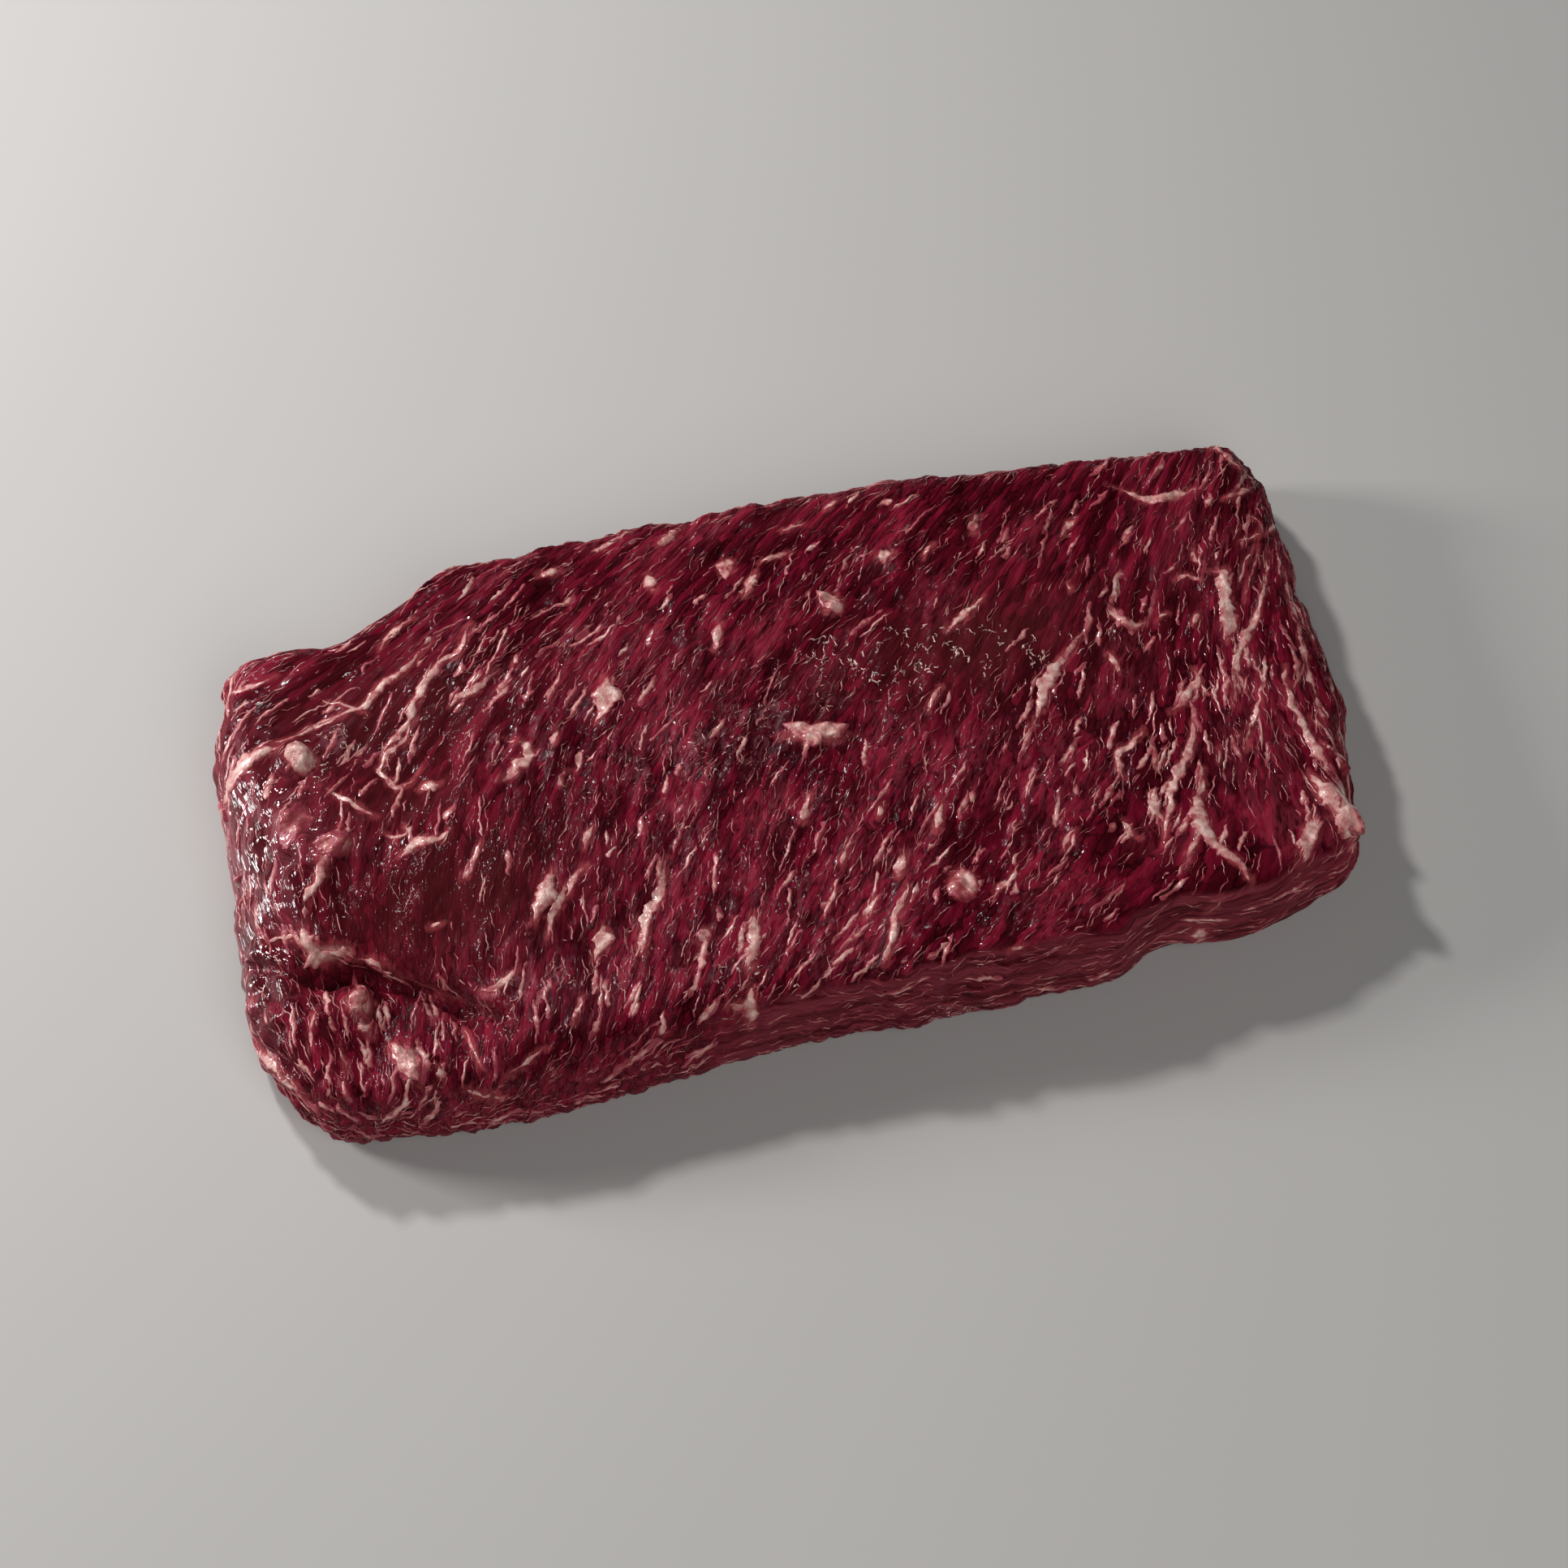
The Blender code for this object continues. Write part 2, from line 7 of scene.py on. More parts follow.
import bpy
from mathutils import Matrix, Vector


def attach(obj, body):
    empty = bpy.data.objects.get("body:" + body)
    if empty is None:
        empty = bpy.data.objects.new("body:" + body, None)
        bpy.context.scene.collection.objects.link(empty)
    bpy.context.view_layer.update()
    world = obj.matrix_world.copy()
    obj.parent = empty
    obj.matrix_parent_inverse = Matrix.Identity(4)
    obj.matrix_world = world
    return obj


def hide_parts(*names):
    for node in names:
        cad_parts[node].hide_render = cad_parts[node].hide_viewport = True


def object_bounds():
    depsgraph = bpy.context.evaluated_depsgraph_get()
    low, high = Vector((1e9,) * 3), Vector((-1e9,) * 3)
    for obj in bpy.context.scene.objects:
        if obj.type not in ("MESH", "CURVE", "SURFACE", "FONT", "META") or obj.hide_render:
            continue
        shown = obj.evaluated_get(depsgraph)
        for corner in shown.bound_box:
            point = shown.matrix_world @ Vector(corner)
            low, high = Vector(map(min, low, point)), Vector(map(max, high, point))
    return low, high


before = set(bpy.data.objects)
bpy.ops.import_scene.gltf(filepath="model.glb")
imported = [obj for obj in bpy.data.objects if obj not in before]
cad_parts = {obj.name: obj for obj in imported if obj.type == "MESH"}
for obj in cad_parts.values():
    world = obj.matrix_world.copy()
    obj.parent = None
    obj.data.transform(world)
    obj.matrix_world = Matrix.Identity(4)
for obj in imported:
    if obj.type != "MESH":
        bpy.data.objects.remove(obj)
solid_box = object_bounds()
print("solid's box, m:", [[round(float(v), 4) for v in corner] for corner in solid_box])

# %% [markdown]
# ## Tools for the lesson
# Everything is measured in millimetres and turned to metres in one place. Colours are written as
# sRGB hex values, as a paint program shows them, and one function turns them to the linear values that
# shaders use. One small function adds a node, sets it and links it, which keeps the materials short.

# %% Units, colours and nodes
import math

import bmesh
import bpy
import numpy as np
from mathutils import Vector, geometry, noise
from mathutils.bvhtree import BVHTree

MM = 0.001


def linear(code):
    """A hex colour as linear red, green, blue and alpha."""
    shares = [int(code[k : k + 2], 16) / 255 for k in (1, 3, 5)]
    return [s / 12.92 if s <= 0.04045 else ((s + 0.055) / 1.055) ** 2.4 for s in shares] + [1.0]


def put(tree, kind, inputs=None, **settings):
    """Adds a node, sets it, and gives each named input a number, a colour or a link from another node."""
    node = tree.nodes.new(kind)
    for name, value in settings.items():
        setattr(node, name, value)
    for key, value in (inputs or {}).items():
        if isinstance(value, bpy.types.NodeSocket):
            tree.links.new(value, node.inputs[key])
        else:
            node.inputs[key].default_value = value
    return node


# %% [markdown]
# ## The way the fibres run
# Flank steak is one thin muscle, and its long fibres are what gives it its look. They fan out: steep
# across the steak at the thick end, slanted in the middle, steep again at the thin end. Twenty
# strokes say which way they run, and two smooth quartics are fitted to them. The first grows along the
# fibres and the second across them, both in millimetres, so any pattern drawn in these two
# coordinates follows the meat. The fit holds the way more firmly than the size.

# %% Fibre coordinates
HALF_LENGTH, HALF_WIDTH = 139.5, 76.5
FIBRE_STROKES = [
    (-0.80, -0.72, 79), (-0.44, -0.65, 65), (-0.07, -0.40, 54), (0.00, 0.40, 49),
    (-0.58, 0.58, 30), (-0.80, 0.65, 14), (-0.28, 0.80, 34), (0.43, 0.78, 38),
    (0.50, 0.13, 43), (0.65, -0.40, 60), (0.90, 0.00, 86), (0.92, -0.46, 97),
    (0.80, 0.58, 48), (0.43, -0.78, 48), (-0.92, 0.00, 80), (-0.70, 0.10, 62),
    (0.68, 0.18, 50), (0.30, -0.35, 48), (0.78, -0.20, 70), (0.88, -0.85, 92),
]
SIZE_SHARE = 0.3


def quartic_terms(x, y):
    """The terms of a quartic in x and y, and their slopes along x and along y."""
    value, slope_x, slope_y = [], [], []
    for i in range(5):
        for j in range(5 - i):
            if i + j > 0:
                value.append(x**i * y**j)
                slope_x.append(i * x ** max(i - 1, 0) * y**j)
                slope_y.append(j * x**i * y ** max(j - 1, 0))
    return np.array(value), np.array(slope_x) / HALF_LENGTH, np.array(slope_y) / HALF_WIDTH


def fitted(level, rising):
    """The quartic that stays level along one way and rises by one a millimetre along the other."""
    rows = np.vstack([level, SIZE_SHARE * rising])
    goals = np.repeat([0.0, SIZE_SHARE], len(level))
    return np.linalg.lstsq(rows, goals, rcond=None)[0]


stroke_x, stroke_y, stroke_turn = np.array(FIBRE_STROKES, float).T
stroke_turn = np.radians(stroke_turn)
_, slope_x, slope_y = quartic_terms(stroke_x, stroke_y)
with_fibre = (slope_x * np.cos(stroke_turn) + slope_y * np.sin(stroke_turn)).T
over_fibre = (slope_y * np.cos(stroke_turn) - slope_x * np.sin(stroke_turn)).T
ALONG = fitted(over_fibre, with_fibre)
ACROSS = fitted(with_fibre, over_fibre)


def fibre_place(points):
    """How far each point, in millimetres, lies along the fibres and across them."""
    value, _, _ = quartic_terms(points[:, 0] / HALF_LENGTH, points[:, 1] / HALF_WIDTH)
    return ALONG @ value, ACROSS @ value


misfit = np.degrees(np.arctan2(np.abs(with_fibre @ ACROSS), over_fibre @ ACROSS))
print("fibres: largest misfit of a stroke's way, degrees:", round(float(misfit.max())))

# %% [markdown]
# ## A finer skin for the solid
# The solid has broad facets, because it is made for measuring. For the looks its copy is wrapped in a
# voxel net of about 0.9 mm, then smoothed until the facets are gone. Subdividing would be simpler,
# but the solid's triangles are uneven and their pattern would show through. The underside is flat and
# hidden, so it gets almost no faces, and the top can have more.

# %% Wrap and smooth
NET = 0.00090
SMOOTH_ROUNDS = 12


def plain_mesh(obj):
    """The object's mesh with its modifiers applied."""
    graph = bpy.context.evaluated_depsgraph_get()
    return bpy.data.meshes.new_from_object(obj.evaluated_get(graph), depsgraph=graph)


def add_object(name, mesh):
    """A new object of that mesh, at the origin."""
    made = bpy.data.objects.new(name, mesh)
    bpy.context.scene.collection.objects.link(made)
    return made


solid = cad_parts["steak"]
skin = solid.data.copy()
skin.transform(solid.matrix_world)
skin.materials.clear()
work = bmesh.new()
work.from_mesh(skin)
bmesh.ops.remove_doubles(work, verts=work.verts, dist=1e-6)
work.to_mesh(skin)
work.free()
lean = add_object("lean", skin)
wrap = lean.modifiers.new("wrap", "REMESH")
wrap.mode = "VOXEL"
wrap.voxel_size = NET
wrapped = plain_mesh(lean)
lean.modifiers.clear()
lean.data = wrapped


def positions(mesh):
    """The vertices' places in millimetres."""
    flat = np.empty(len(mesh.vertices) * 3)
    mesh.vertices.foreach_get("co", flat)
    return flat.reshape(-1, 3) / MM


def set_positions(mesh, points):
    """Moves the vertices to these places, in millimetres."""
    mesh.vertices.foreach_set("co", (points * MM).ravel())
    mesh.update()


def normals(mesh):
    """The vertices' normals."""
    flat = np.empty(len(mesh.vertices) * 3)
    mesh.vertex_normals.foreach_get("vector", flat)
    return flat.reshape(-1, 3)


def smooth(points, edges, rounds, share=0.5):
    """Moves each point part of the way to the middle of its neighbours, again and again."""
    a, b = edges.T
    count = np.bincount(a, minlength=len(points)) + np.bincount(b, minlength=len(points))
    for _ in range(rounds):
        middle = np.empty_like(points)
        for axis in range(points.shape[1]):
            column = points[:, axis]
            total = np.bincount(a, column[b], len(points)) + np.bincount(b, column[a], len(points))
            middle[:, axis] = total / count
        points = points + share * (middle - points)
    return points


def edge_pairs(mesh):
    """The two ends of each edge."""
    flat = np.empty(len(mesh.edges) * 2, int)
    mesh.edges.foreach_get("vertices", flat)
    return flat.reshape(-1, 2)


points = positions(wrapped)
resting = points[:, 2] < 0.4
points = smooth(points, edge_pairs(wrapped), SMOOTH_ROUNDS)
points[resting, 2] = 0.0
set_positions(wrapped, points)
print("wrapped skin:", len(wrapped.vertices), "points")

# %% [markdown]
# ## Streaks of fat
# Fat between the bundles of fibres shows as pale streaks, mostly along the fibres, up to 5 mm wide.
# The streaks that the eye remembers are drawn as short lines with a width at each knot. A noise
# could scatter streaks, but it would never give the fan of them at the thin end. For every point of the
# skin the distance to the edge of the nearest streak is worked out too, because fat stains the lean
# beside it pink.

# %% The streaks that show most: name, then knots of x, y, z and width, mm
STREAKS = [
    ("loop streak", [(72, 2, 26, 1.2), (64, -4, 26, 2.6), (60, -11, 26, 1.8), (56, -16, 26, 0.8)]),
    ("far bead", [(64, 48, 26, 1.8), (61, 43, 26, 2.4)]),
    ("slant", [(57, 23, 27, 1.0), (51, 19, 27, 2.2), (45, 16, 27, 1.2)]),
    ("far bead 2", [(36, 42, 26, 2.4), (40, 42, 26, 2.0)]),
    ("far bead 3", [(50, 42, 26, 1.0), (47, 39, 26, 1.4)]),
    ("mid drop", [(0, -19, 27, 1.2), (-4, -26, 27, 1.8)]),
    ("mid drop 2", [(29, -30, 26, 1.2), (25, -37, 27, 2.0)]),
    ("near bead", [(16, -41, 26, 2.0), (13, -46, 26, 2.4)]),
    ("near bead 2", [(6, -50, 25, 1.6), (2, -54, 25, 1.8)]),
    ("near snake", [(14, -50, 26, 1.4), (9, -56, 26, 1.8), (6, -63, 27, 1.8), (2, -68, 27, 1.4)]),
    ("near long", [(-22, -46, 26, 1.6), (-24, -53, 26, 2.2), (-27, -60, 26, 2.6)]),
    ("lip long", [(-28, -64, 25, 1.8), (-30, -70, 19, 2.4)]),
    ("lip side", [(-34, -66, 23, 1.4), (-30, -67, 22, 1.6)]),
    ("near short", [(-33, -47, 26, 1.6), (-36, -50, 26, 1.6)]),
    ("near sweep", [(-37, -26, 26, 0.8), (-41, -35, 26, 1.6), (-46, -40, 26, 2.2), (-49, -47, 25, 2.8)]),
    ("dome line", [(-77, -10, 28, 1.0), (-83, -19, 28, 1.2)]),
    ("left bead", [(-87, 10, 25, 1.6), (-82, 10, 26, 1.6)]),
    ("upper drop 2", [(-6, 34, 26, 1.2), (-10, 27, 27, 2.0)]),
    ("far patch 2", [(6, 46, 26, 1.4), (2, 40, 27, 2.0)]),
    ("far patch 3", [(16, 50, 26, 1.2), (8, 49, 26, 1.2)]),
    ("far edge 1", [(-6, 67, 23, 1.0), (-14, 62, 24, 1.6)]),
    ("far edge 2", [(-19, 54, 25, 1.4), (-19, 49, 26, 2.4)]),
    ("far edge 3", [(-44, 62, 25, 2.0), (-39, 62, 24, 2.0)]),
    ("far edge 5", [(22, 58, 26, 0.8), (16, 57, 26, 1.0)]),
    ("far edge 6", [(32, 62, 26, 0.8), (28, 60, 26, 1.2)]),
    ("wall dash", [(31, -72, 25, 0.8), (35, -72, 25, 1.0)]),
    ("lip dash", [(-69, -62, 25, 0.8), (-65, -55, 25, 1.0)]),
    ("lobe bead", [(-100, -62, 23, 1.4), (-101, -65, 22, 1.4)]),
    ("near dash", [(5, -34, 27, 0.8), (1, -40, 26, 0.8)]),
    ("near dash 2", [(15, -27, 27, 1.2), (13, -30, 27, 1.2)]),
    ("mid dash", [(39, 1, 27, 0.8), (33, -5, 27, 1.0)]),
    ("left dash 2", [(-52, 16, 26, 0.8), (-54, 12, 27, 1.0)]),
    ("left dash 3", [(-48, 8, 27, 0.8), (-51, 3, 27, 1.0)]),
    ("lip bead", [(38, -54, 27, 1.0), (33, -57, 27, 1.2)]),
    ("far band", [
        (98, 49, 23, 0.6), (103, 46, 22, 0.8), (106, 42, 22, 1.7), (110, 41, 22, 1.9),
        (114, 41, 23, 1.6), (118, 42, 22, 0.8), (121, 42, 22, 0.5),
    ]),
    ("far band end", [(124, 36, 23, 0.8), (128, 37, 23, 1.4), (133, 39, 20, 0.9)]),
    ("hub crown", [(104, 16, 24, 0.8), (107, 17, 24, 0.8), (110, 14, 24, 0.6)]),
    ("hub strip", [
        (112, 16, 24, 0.8), (117, 15, 23, 1.9), (115, 12, 24, 2.3), (114, 7, 24, 2.9), (113, 3, 23, 3.1),
        (112, -1, 24, 3.3), (109, -5, 24, 1.3),
    ]),
    ("hub stem", [
        (130, 20, 22, 0.6), (128, 15, 22, 0.8), (125, 9, 22, 0.8), (121, 3, 23, 1.0), (118, -1, 22, 1.5),
        (114, -5, 23, 2.1), (112, -8, 23, 1.9), (110, -11, 24, 1.5), (108, -15, 24, 1.3),
        (106, -20, 24, 1.0), (104, -23, 24, 0.4),
    ]),
    ("star west", [(130, 24, 21, 0.9), (127, 24, 22, 0.6), (123, 23, 23, 0.3)]),
    ("star north", [(130, 24, 21, 0.8), (131, 27, 21, 0.5), (130, 32, 21, 0.3)]),
    ("star east", [(131, 24, 21, 0.9), (136, 29, 17, 0.8), (136, 32, 17, 0.5)]),
    ("ray 1", [(127, 21, 22, 0.4), (122, 16, 22, 0.5), (118, 10, 23, 0.3)]),
    ("ray 2", [(128, 21, 22, 0.4), (123, 13, 22, 0.4), (118, 6, 22, 0.3)]),
    ("stem branch", [
        (112, -10, 23, 1.0), (114, -13, 23, 0.8), (114, -17, 23, 0.8), (112, -22, 23, 0.9),
        (109, -26, 24, 0.9), (106, -30, 24, 0.8), (103, -36, 24, 0.4),
    ]),
    ("edge strip", [
        (121, -15, 23, 0.8), (119, -21, 23, 1.3), (118, -27, 23, 1.4), (119, -32, 23, 1.4),
        (119, -37, 23, 1.6), (119, -41, 23, 1.8), (120, -45, 23, 1.1), (120, -49, 23, 0.5),
    ]),
    ("edge strip 2", [(128, -13, 21, 0.4), (123, -19, 22, 0.7), (120, -22, 23, 0.5)]),
    ("edge strip 3", [(121, -30, 22, 0.5), (123, -34, 22, 0.7), (124, -38, 22, 1.0), (124, -45, 22, 1.3)]),
    ("long hook", [
        (91, -38, 24, 0.8), (89, -43, 24, 1.5), (86, -47, 25, 2.0), (85, -52, 25, 2.7),
        (85, -57, 25, 2.1), (87, -61, 25, 2.1), (89, -64, 25, 1.8), (90, -68, 25, 1.6),
        (91, -71, 24, 0.7),
    ]),
    ("hook branch", [(84, -52, 25, 0.8), (82, -57, 25, 1.0), (79, -60, 26, 1.3), (77, -64, 26, 0.5)]),
    ("spine", [
        (95, -22, 24, 0.6), (93, -26, 24, 1.3), (90, -32, 24, 1.7), (85, -37, 25, 2.1),
        (81, -42, 25, 1.7), (79, -47, 25, 1.5), (76, -52, 25, 1.0), (74, -56, 26, 0.5),
    ]),
    ("spine foot", [(77, -41, 25, 1.3), (76, -46, 25, 2.1), (77, -50, 25, 0.8)]),
    ("loop", [
        (81, -24, 25, 1.5), (77, -27, 25, 1.5), (74, -28, 25, 1.3), (72, -30, 25, 1.3),
        (72, -33, 25, 1.7), (72, -36, 25, 0.7),
    ]),
    ("arrow", [
        (99, -10, 24, 0.5), (99, -14, 24, 1.7), (96, -16, 24, 1.9), (93, -19, 24, 1.4),
        (89, -21, 24, 0.7),
    ]),
    ("arrow wing", [(99, -14, 24, 0.8), (99, -18, 24, 0.8), (101, -19, 24, 0.4)]),
    ("arc", [(86, 14, 25, 0.7), (86, 10, 25, 1.5), (88, 6, 25, 1.5), (90, 5, 25, 1.5), (93, 6, 24, 0.6)]),
    ("short peak", [(80, 0, 26, 0.5), (81, -3, 26, 1.3), (81, -8, 25, 0.5)]),
    ("bit", [(103, 2, 24, 0.6), (105, 4, 24, 1.5), (106, 5, 24, 0.5)]),
    ("bit 2", [(96, 6, 24, 0.5), (98, 7, 24, 0.9), (99, 7, 24, 0.4)]),
    ("tick", [(112, 25, 23, 0.4), (111, 21, 23, 0.8), (112, 19, 24, 0.3)]),
    ("far drop", [(82, 36, 25, 0.8), (85, 40, 24, 1.5), (87, 41, 24, 1.0)]),
    ("far drop foot", [(78, 22, 25, 0.6), (78, 19, 26, 0.9)]),
    ("right loop", [(67, -1, 26, 1.5), (71, 2, 26, 1.6), (74, 4, 26, 0.8), (78, 8, 25, 0.4)]),
    ("drop", [(68, -46, 25, 0.5), (68, -49, 25, 1.1), (69, -52, 25, 1.6)]),
    ("near left", [(51, -52, 26, 0.6), (53, -48, 26, 1.0), (56, -46, 26, 0.5)]),
    ("bead row", [(97, -33, 24, 0.6), (95, -38, 24, 0.4)]),
    ("bead", [(103, -31, 24, 0.8), (103, -32, 24, 0.8)]),
    ("near hook", [(79, -72, 17, 0.6), (82, -72, 20, 1.3), (83, -72, 23, 0.6)]),
    ("arm", [
        (-116, 29, 28, 1.7), (-121, 29, 27, 2.9), (-125, 29, 25, 3.8), (-129, 27, 22, 2.9),
        (-131, 25, 18, 2.9), (-133, 24, 15, 1.5),
    ]),
    ("knob line", [
        (-117, 31, 27, 1.3), (-114, 31, 27, 1.3), (-110, 32, 27, 1.0), (-105, 34, 26, 1.0),
        (-99, 35, 26, 0.9),
    ]),
    ("flap tail", [
        (-113, -6, 31, 3.5), (-115, -9, 29, 2.7), (-118, -12, 29, 1.9), (-120, -16, 29, 1.1),
        (-121, -19, 27, 0.6),
    ]),
    ("seam", [
        (-122, -19, 26, 1.3), (-122, -23, 25, 3.8), (-120, -26, 23, 4.2), (-116, -27, 24, 3.8),
        (-113, -28, 25, 2.7), (-112, -30, 24, 1.0),
    ]),
    ("seam right", [
        (-112, -30, 24, 0.9), (-108, -32, 24, 1.4), (-105, -34, 23, 1.6), (-104, -36, 23, 1.0),
    ]),
    ("seam left", [(-131, -18, 20, 0.6), (-127, -18, 22, 1.3), (-124, -21, 25, 1.3)]),
    ("fold line", [
        (-104, -36, 23, 0.5), (-99, -41, 22, 0.5), (-94, -44, 21, 0.6), (-89, -49, 21, 0.8),
        (-85, -52, 23, 0.5),
    ]),
    ("fold tuft", [(-87, -47, 24, 1.0), (-84, -48, 26, 1.7), (-80, -46, 26, 1.3), (-77, -44, 26, 0.5)]),
    ("corner strip", [
        (-139, -35, 8, 1.7), (-138, -39, 8, 2.3), (-137, -43, 12, 2.9), (-136, -47, 14, 2.7),
        (-134, -52, 15, 2.5), (-132, -55, 15, 2.1), (-130, -59, 15, 1.5), (-129, -61, 14, 0.6),
    ]),
    ("dome chip", [
        (-96, -9, 28, 0.8), (-93, -7, 28, 1.8), (-90, -6, 28, 2.5), (-86, -7, 28, 1.9),
        (-83, -5, 28, 0.6),
    ]),
    ("dome ring", [(-98, -1, 27, 0.8), (-96, -3, 27, 1.0), (-93, -3, 27, 0.8), (-93, 0, 27, 0.6)]),
    ("left hook", [
        (-83, 31, 25, 0.8), (-85, 28, 25, 1.0), (-87, 25, 24, 1.2), (-90, 23, 24, 1.4),
        (-93, 21, 25, 1.4), (-95, 18, 25, 0.9), (-93, 13, 26, 1.2), (-92, 11, 25, 1.2),
        (-88, 13, 25, 0.7), (-85, 16, 24, 0.5),
    ]),
    ("diagonal", [(-110, 17, 28, 0.4), (-106, 12, 27, 0.6), (-102, 8, 28, 0.9), (-99, 4, 27, 1.4)]),
    ("dome side", [(-63, -22, 27, 1.0), (-66, -27, 27, 2.7), (-69, -31, 27, 2.5), (-71, -35, 27, 0.8)]),
    ("dome side 2", [(-61, -26, 27, 1.0), (-64, -31, 27, 1.5), (-67, -34, 26, 1.3), (-69, -39, 26, 0.5)]),
    ("dome bead", [(-94, -29, 28, 1.0), (-92, -29, 28, 1.4), (-91, -29, 28, 0.8)]),
    ("dome bead 2", [(-84, -19, 28, 0.6), (-82, -16, 28, 0.8), (-80, -14, 28, 0.6)]),
    ("lobe dash", [(-99, -42, 21, 0.8), (-99, -46, 22, 0.8), (-99, -50, 22, 0.5)]),
    ("lobe dash 2", [(-93, -53, 21, 0.5), (-92, -59, 23, 0.6), (-92, -64, 24, 0.8), (-91, -67, 23, 0.5)]),
    ("lobe dash 3", [(-121, -50, 23, 0.6), (-120, -54, 22, 0.9), (-121, -57, 22, 0.5)]),
    ("lobe foot", [(-96, -68, 20, 0.8), (-94, -69, 19, 1.4), (-90, -70, 17, 1.7), (-87, -71, 16, 1.0)]),
    ("lobe left", [(-127, -50, 23, 0.5), (-127, -46, 24, 0.7), (-125, -43, 24, 0.9), (-124, -40, 24, 0.6)]),
    ("lobe edge", [(-87, -68, 21, 0.6), (-84, -68, 23, 0.8), (-79, -66, 24, 0.8), (-76, -65, 24, 0.5)]),
    ("far sweep", [
        (-64, 52, 26, 1.6), (-67, 47, 26, 2.1), (-69, 44, 26, 1.8), (-73, 43, 26, 1.0),
        (-76, 41, 26, 1.2), (-79, 38, 26, 1.9), (-82, 34, 25, 1.9), (-84, 30, 25, 1.7),
        (-87, 27, 25, 1.4), (-90, 25, 24, 1.6), (-94, 21, 25, 0.8),
    ]),
    ("far sweep 2", [(-77, 58, 26, 1.2), (-80, 57, 25, 1.5), (-84, 54, 25, 1.0), (-87, 51, 26, 0.5)]),
    ("far sweep 3", [
        (-74, 50, 26, 0.6), (-80, 45, 26, 1.0), (-85, 42, 26, 1.5), (-89, 41, 26, 1.4),
        (-92, 38, 26, 1.8), (-94, 36, 26, 1.1), (-97, 36, 26, 0.6), (-103, 35, 26, 0.6),
        (-108, 34, 26, 0.6), (-112, 32, 27, 0.5),
    ]),
    ("far line", [(-105, 42, 26, 0.4), (-101, 39, 26, 0.6), (-96, 36, 26, 0.7), (-94, 34, 25, 0.6)]),
    ("far slant", [(-61, 37, 26, 0.6), (-67, 33, 26, 1.6), (-72, 32, 26, 1.4), (-75, 30, 25, 0.6)]),
    ("left chip", [
        (-64, 17, 26, 0.8), (-60, 14, 26, 2.0), (-60, 10, 27, 2.0), (-63, 9, 28, 2.8), (-66, 6, 27, 2.4),
        (-69, 5, 27, 0.8),
    ]),
    ("upper drop", [(-37, 27, 26, 1.6), (-38, 22, 27, 3.8), (-40, 18, 27, 2.2), (-43, 15, 27, 0.7)]),
    ("upper bead", [(-55, 40, 26, 0.6), (-57, 37, 26, 1.5)]),
    ("upper line", [(-56, 0, 27, 0.6), (-55, 2, 27, 0.9), (-53, 4, 27, 0.5)]),
    ("near tooth", [(-56, -38, 25, 1.2), (-57, -43, 25, 3.6), (-59, -45, 24, 2.0), (-60, -47, 24, 0.6)]),
    ("near tooth 2", [(-64, -24, 28, 1.4), (-66, -29, 27, 2.6), (-69, -31, 27, 1.4), (-71, -35, 27, 0.6)]),
    ("near line", [(-55, -19, 27, 0.6), (-53, -16, 27, 1.4), (-51, -13, 27, 0.8)]),
    ("near line 2", [(-56, -23, 27, 1.4), (-59, -25, 27, 1.2), (-62, -30, 27, 0.6)]),
    ("far rim", [(-125, 54, 19, 0.6), (-121, 50, 24, 0.8), (-117, 49, 26, 0.8), (-112, 50, 26, 0.5)]),
    ("end wall 1", [
        (134, 30, 17, 0.6), (131, 10, 19, 0.8), (127, -10, 20, 1.2), (124, -30, 20, 1.2),
        (123, -45, 19, 0.8),
    ]),
    ("end wall 2", [
        (136, 22, 14, 0.5), (133, 2, 16, 0.8), (129, -18, 17, 1.0), (126, -36, 16, 1.4),
        (124, -50, 15, 1.0),
    ]),
    ("end wall 3", [(135, 0, 12, 0.5), (132, -18, 13, 0.8), (128, -36, 12, 0.6)]),
    ("end web", [(121, -38, 23, 0.8), (124, -43, 20, 1.6), (125, -50, 17, 2.2), (123, -57, 16, 1.2)]),
    ("hanging tip", [
        (115, -45, 24, 1.5), (116, -50, 24, 3.4), (118, -55, 24, 4.6), (119, -60, 23, 5.2),
        (121, -65, 20, 4.6), (122, -69, 17, 3.0),
    ]),
]
HEIGHT_WEIGHT = 0.5


def streak_distance(points):
    """Distance of each point from the edge of the nearest streak, negative inside it."""
    weight = np.array([1.0, 1.0, HEIGHT_WEIGHT])
    nearest = np.full(len(points), 99.0)
    flat = points * weight
    for _, knots in STREAKS:
        knots = np.array(knots, float)
        for start, end in zip(knots, knots[1:]):
            root, run = start[:3] * weight, (end[:3] - start[:3]) * weight
            t = np.clip((flat - root) @ run / (run @ run), 0.0, 1.0)
            half = (start[3] + t * (end[3] - start[3])) / 2
            gap = np.linalg.norm(flat - root - t[:, None] * run, axis=1)
            nearest = np.minimum(nearest, gap - half)
    return nearest


print("streaks:", len(STREAKS), "from", sum(len(knots) for _, knots in STREAKS), "knots")

# %% [markdown]
# ## Lumps of fat
# The larger lumps are torn rests of the fat that covered the muscle. Each is a ragged patch with a
# middle, two half sizes, a turn and a thickness, all in millimetres and degrees. The eye remembers the
# outline of four of them, so those are drawn point by point. The others get a torn outline of a few
# straight cuts at random. Their distance to the skin counts with the streaks' distance, because both
# stain the lean around them.

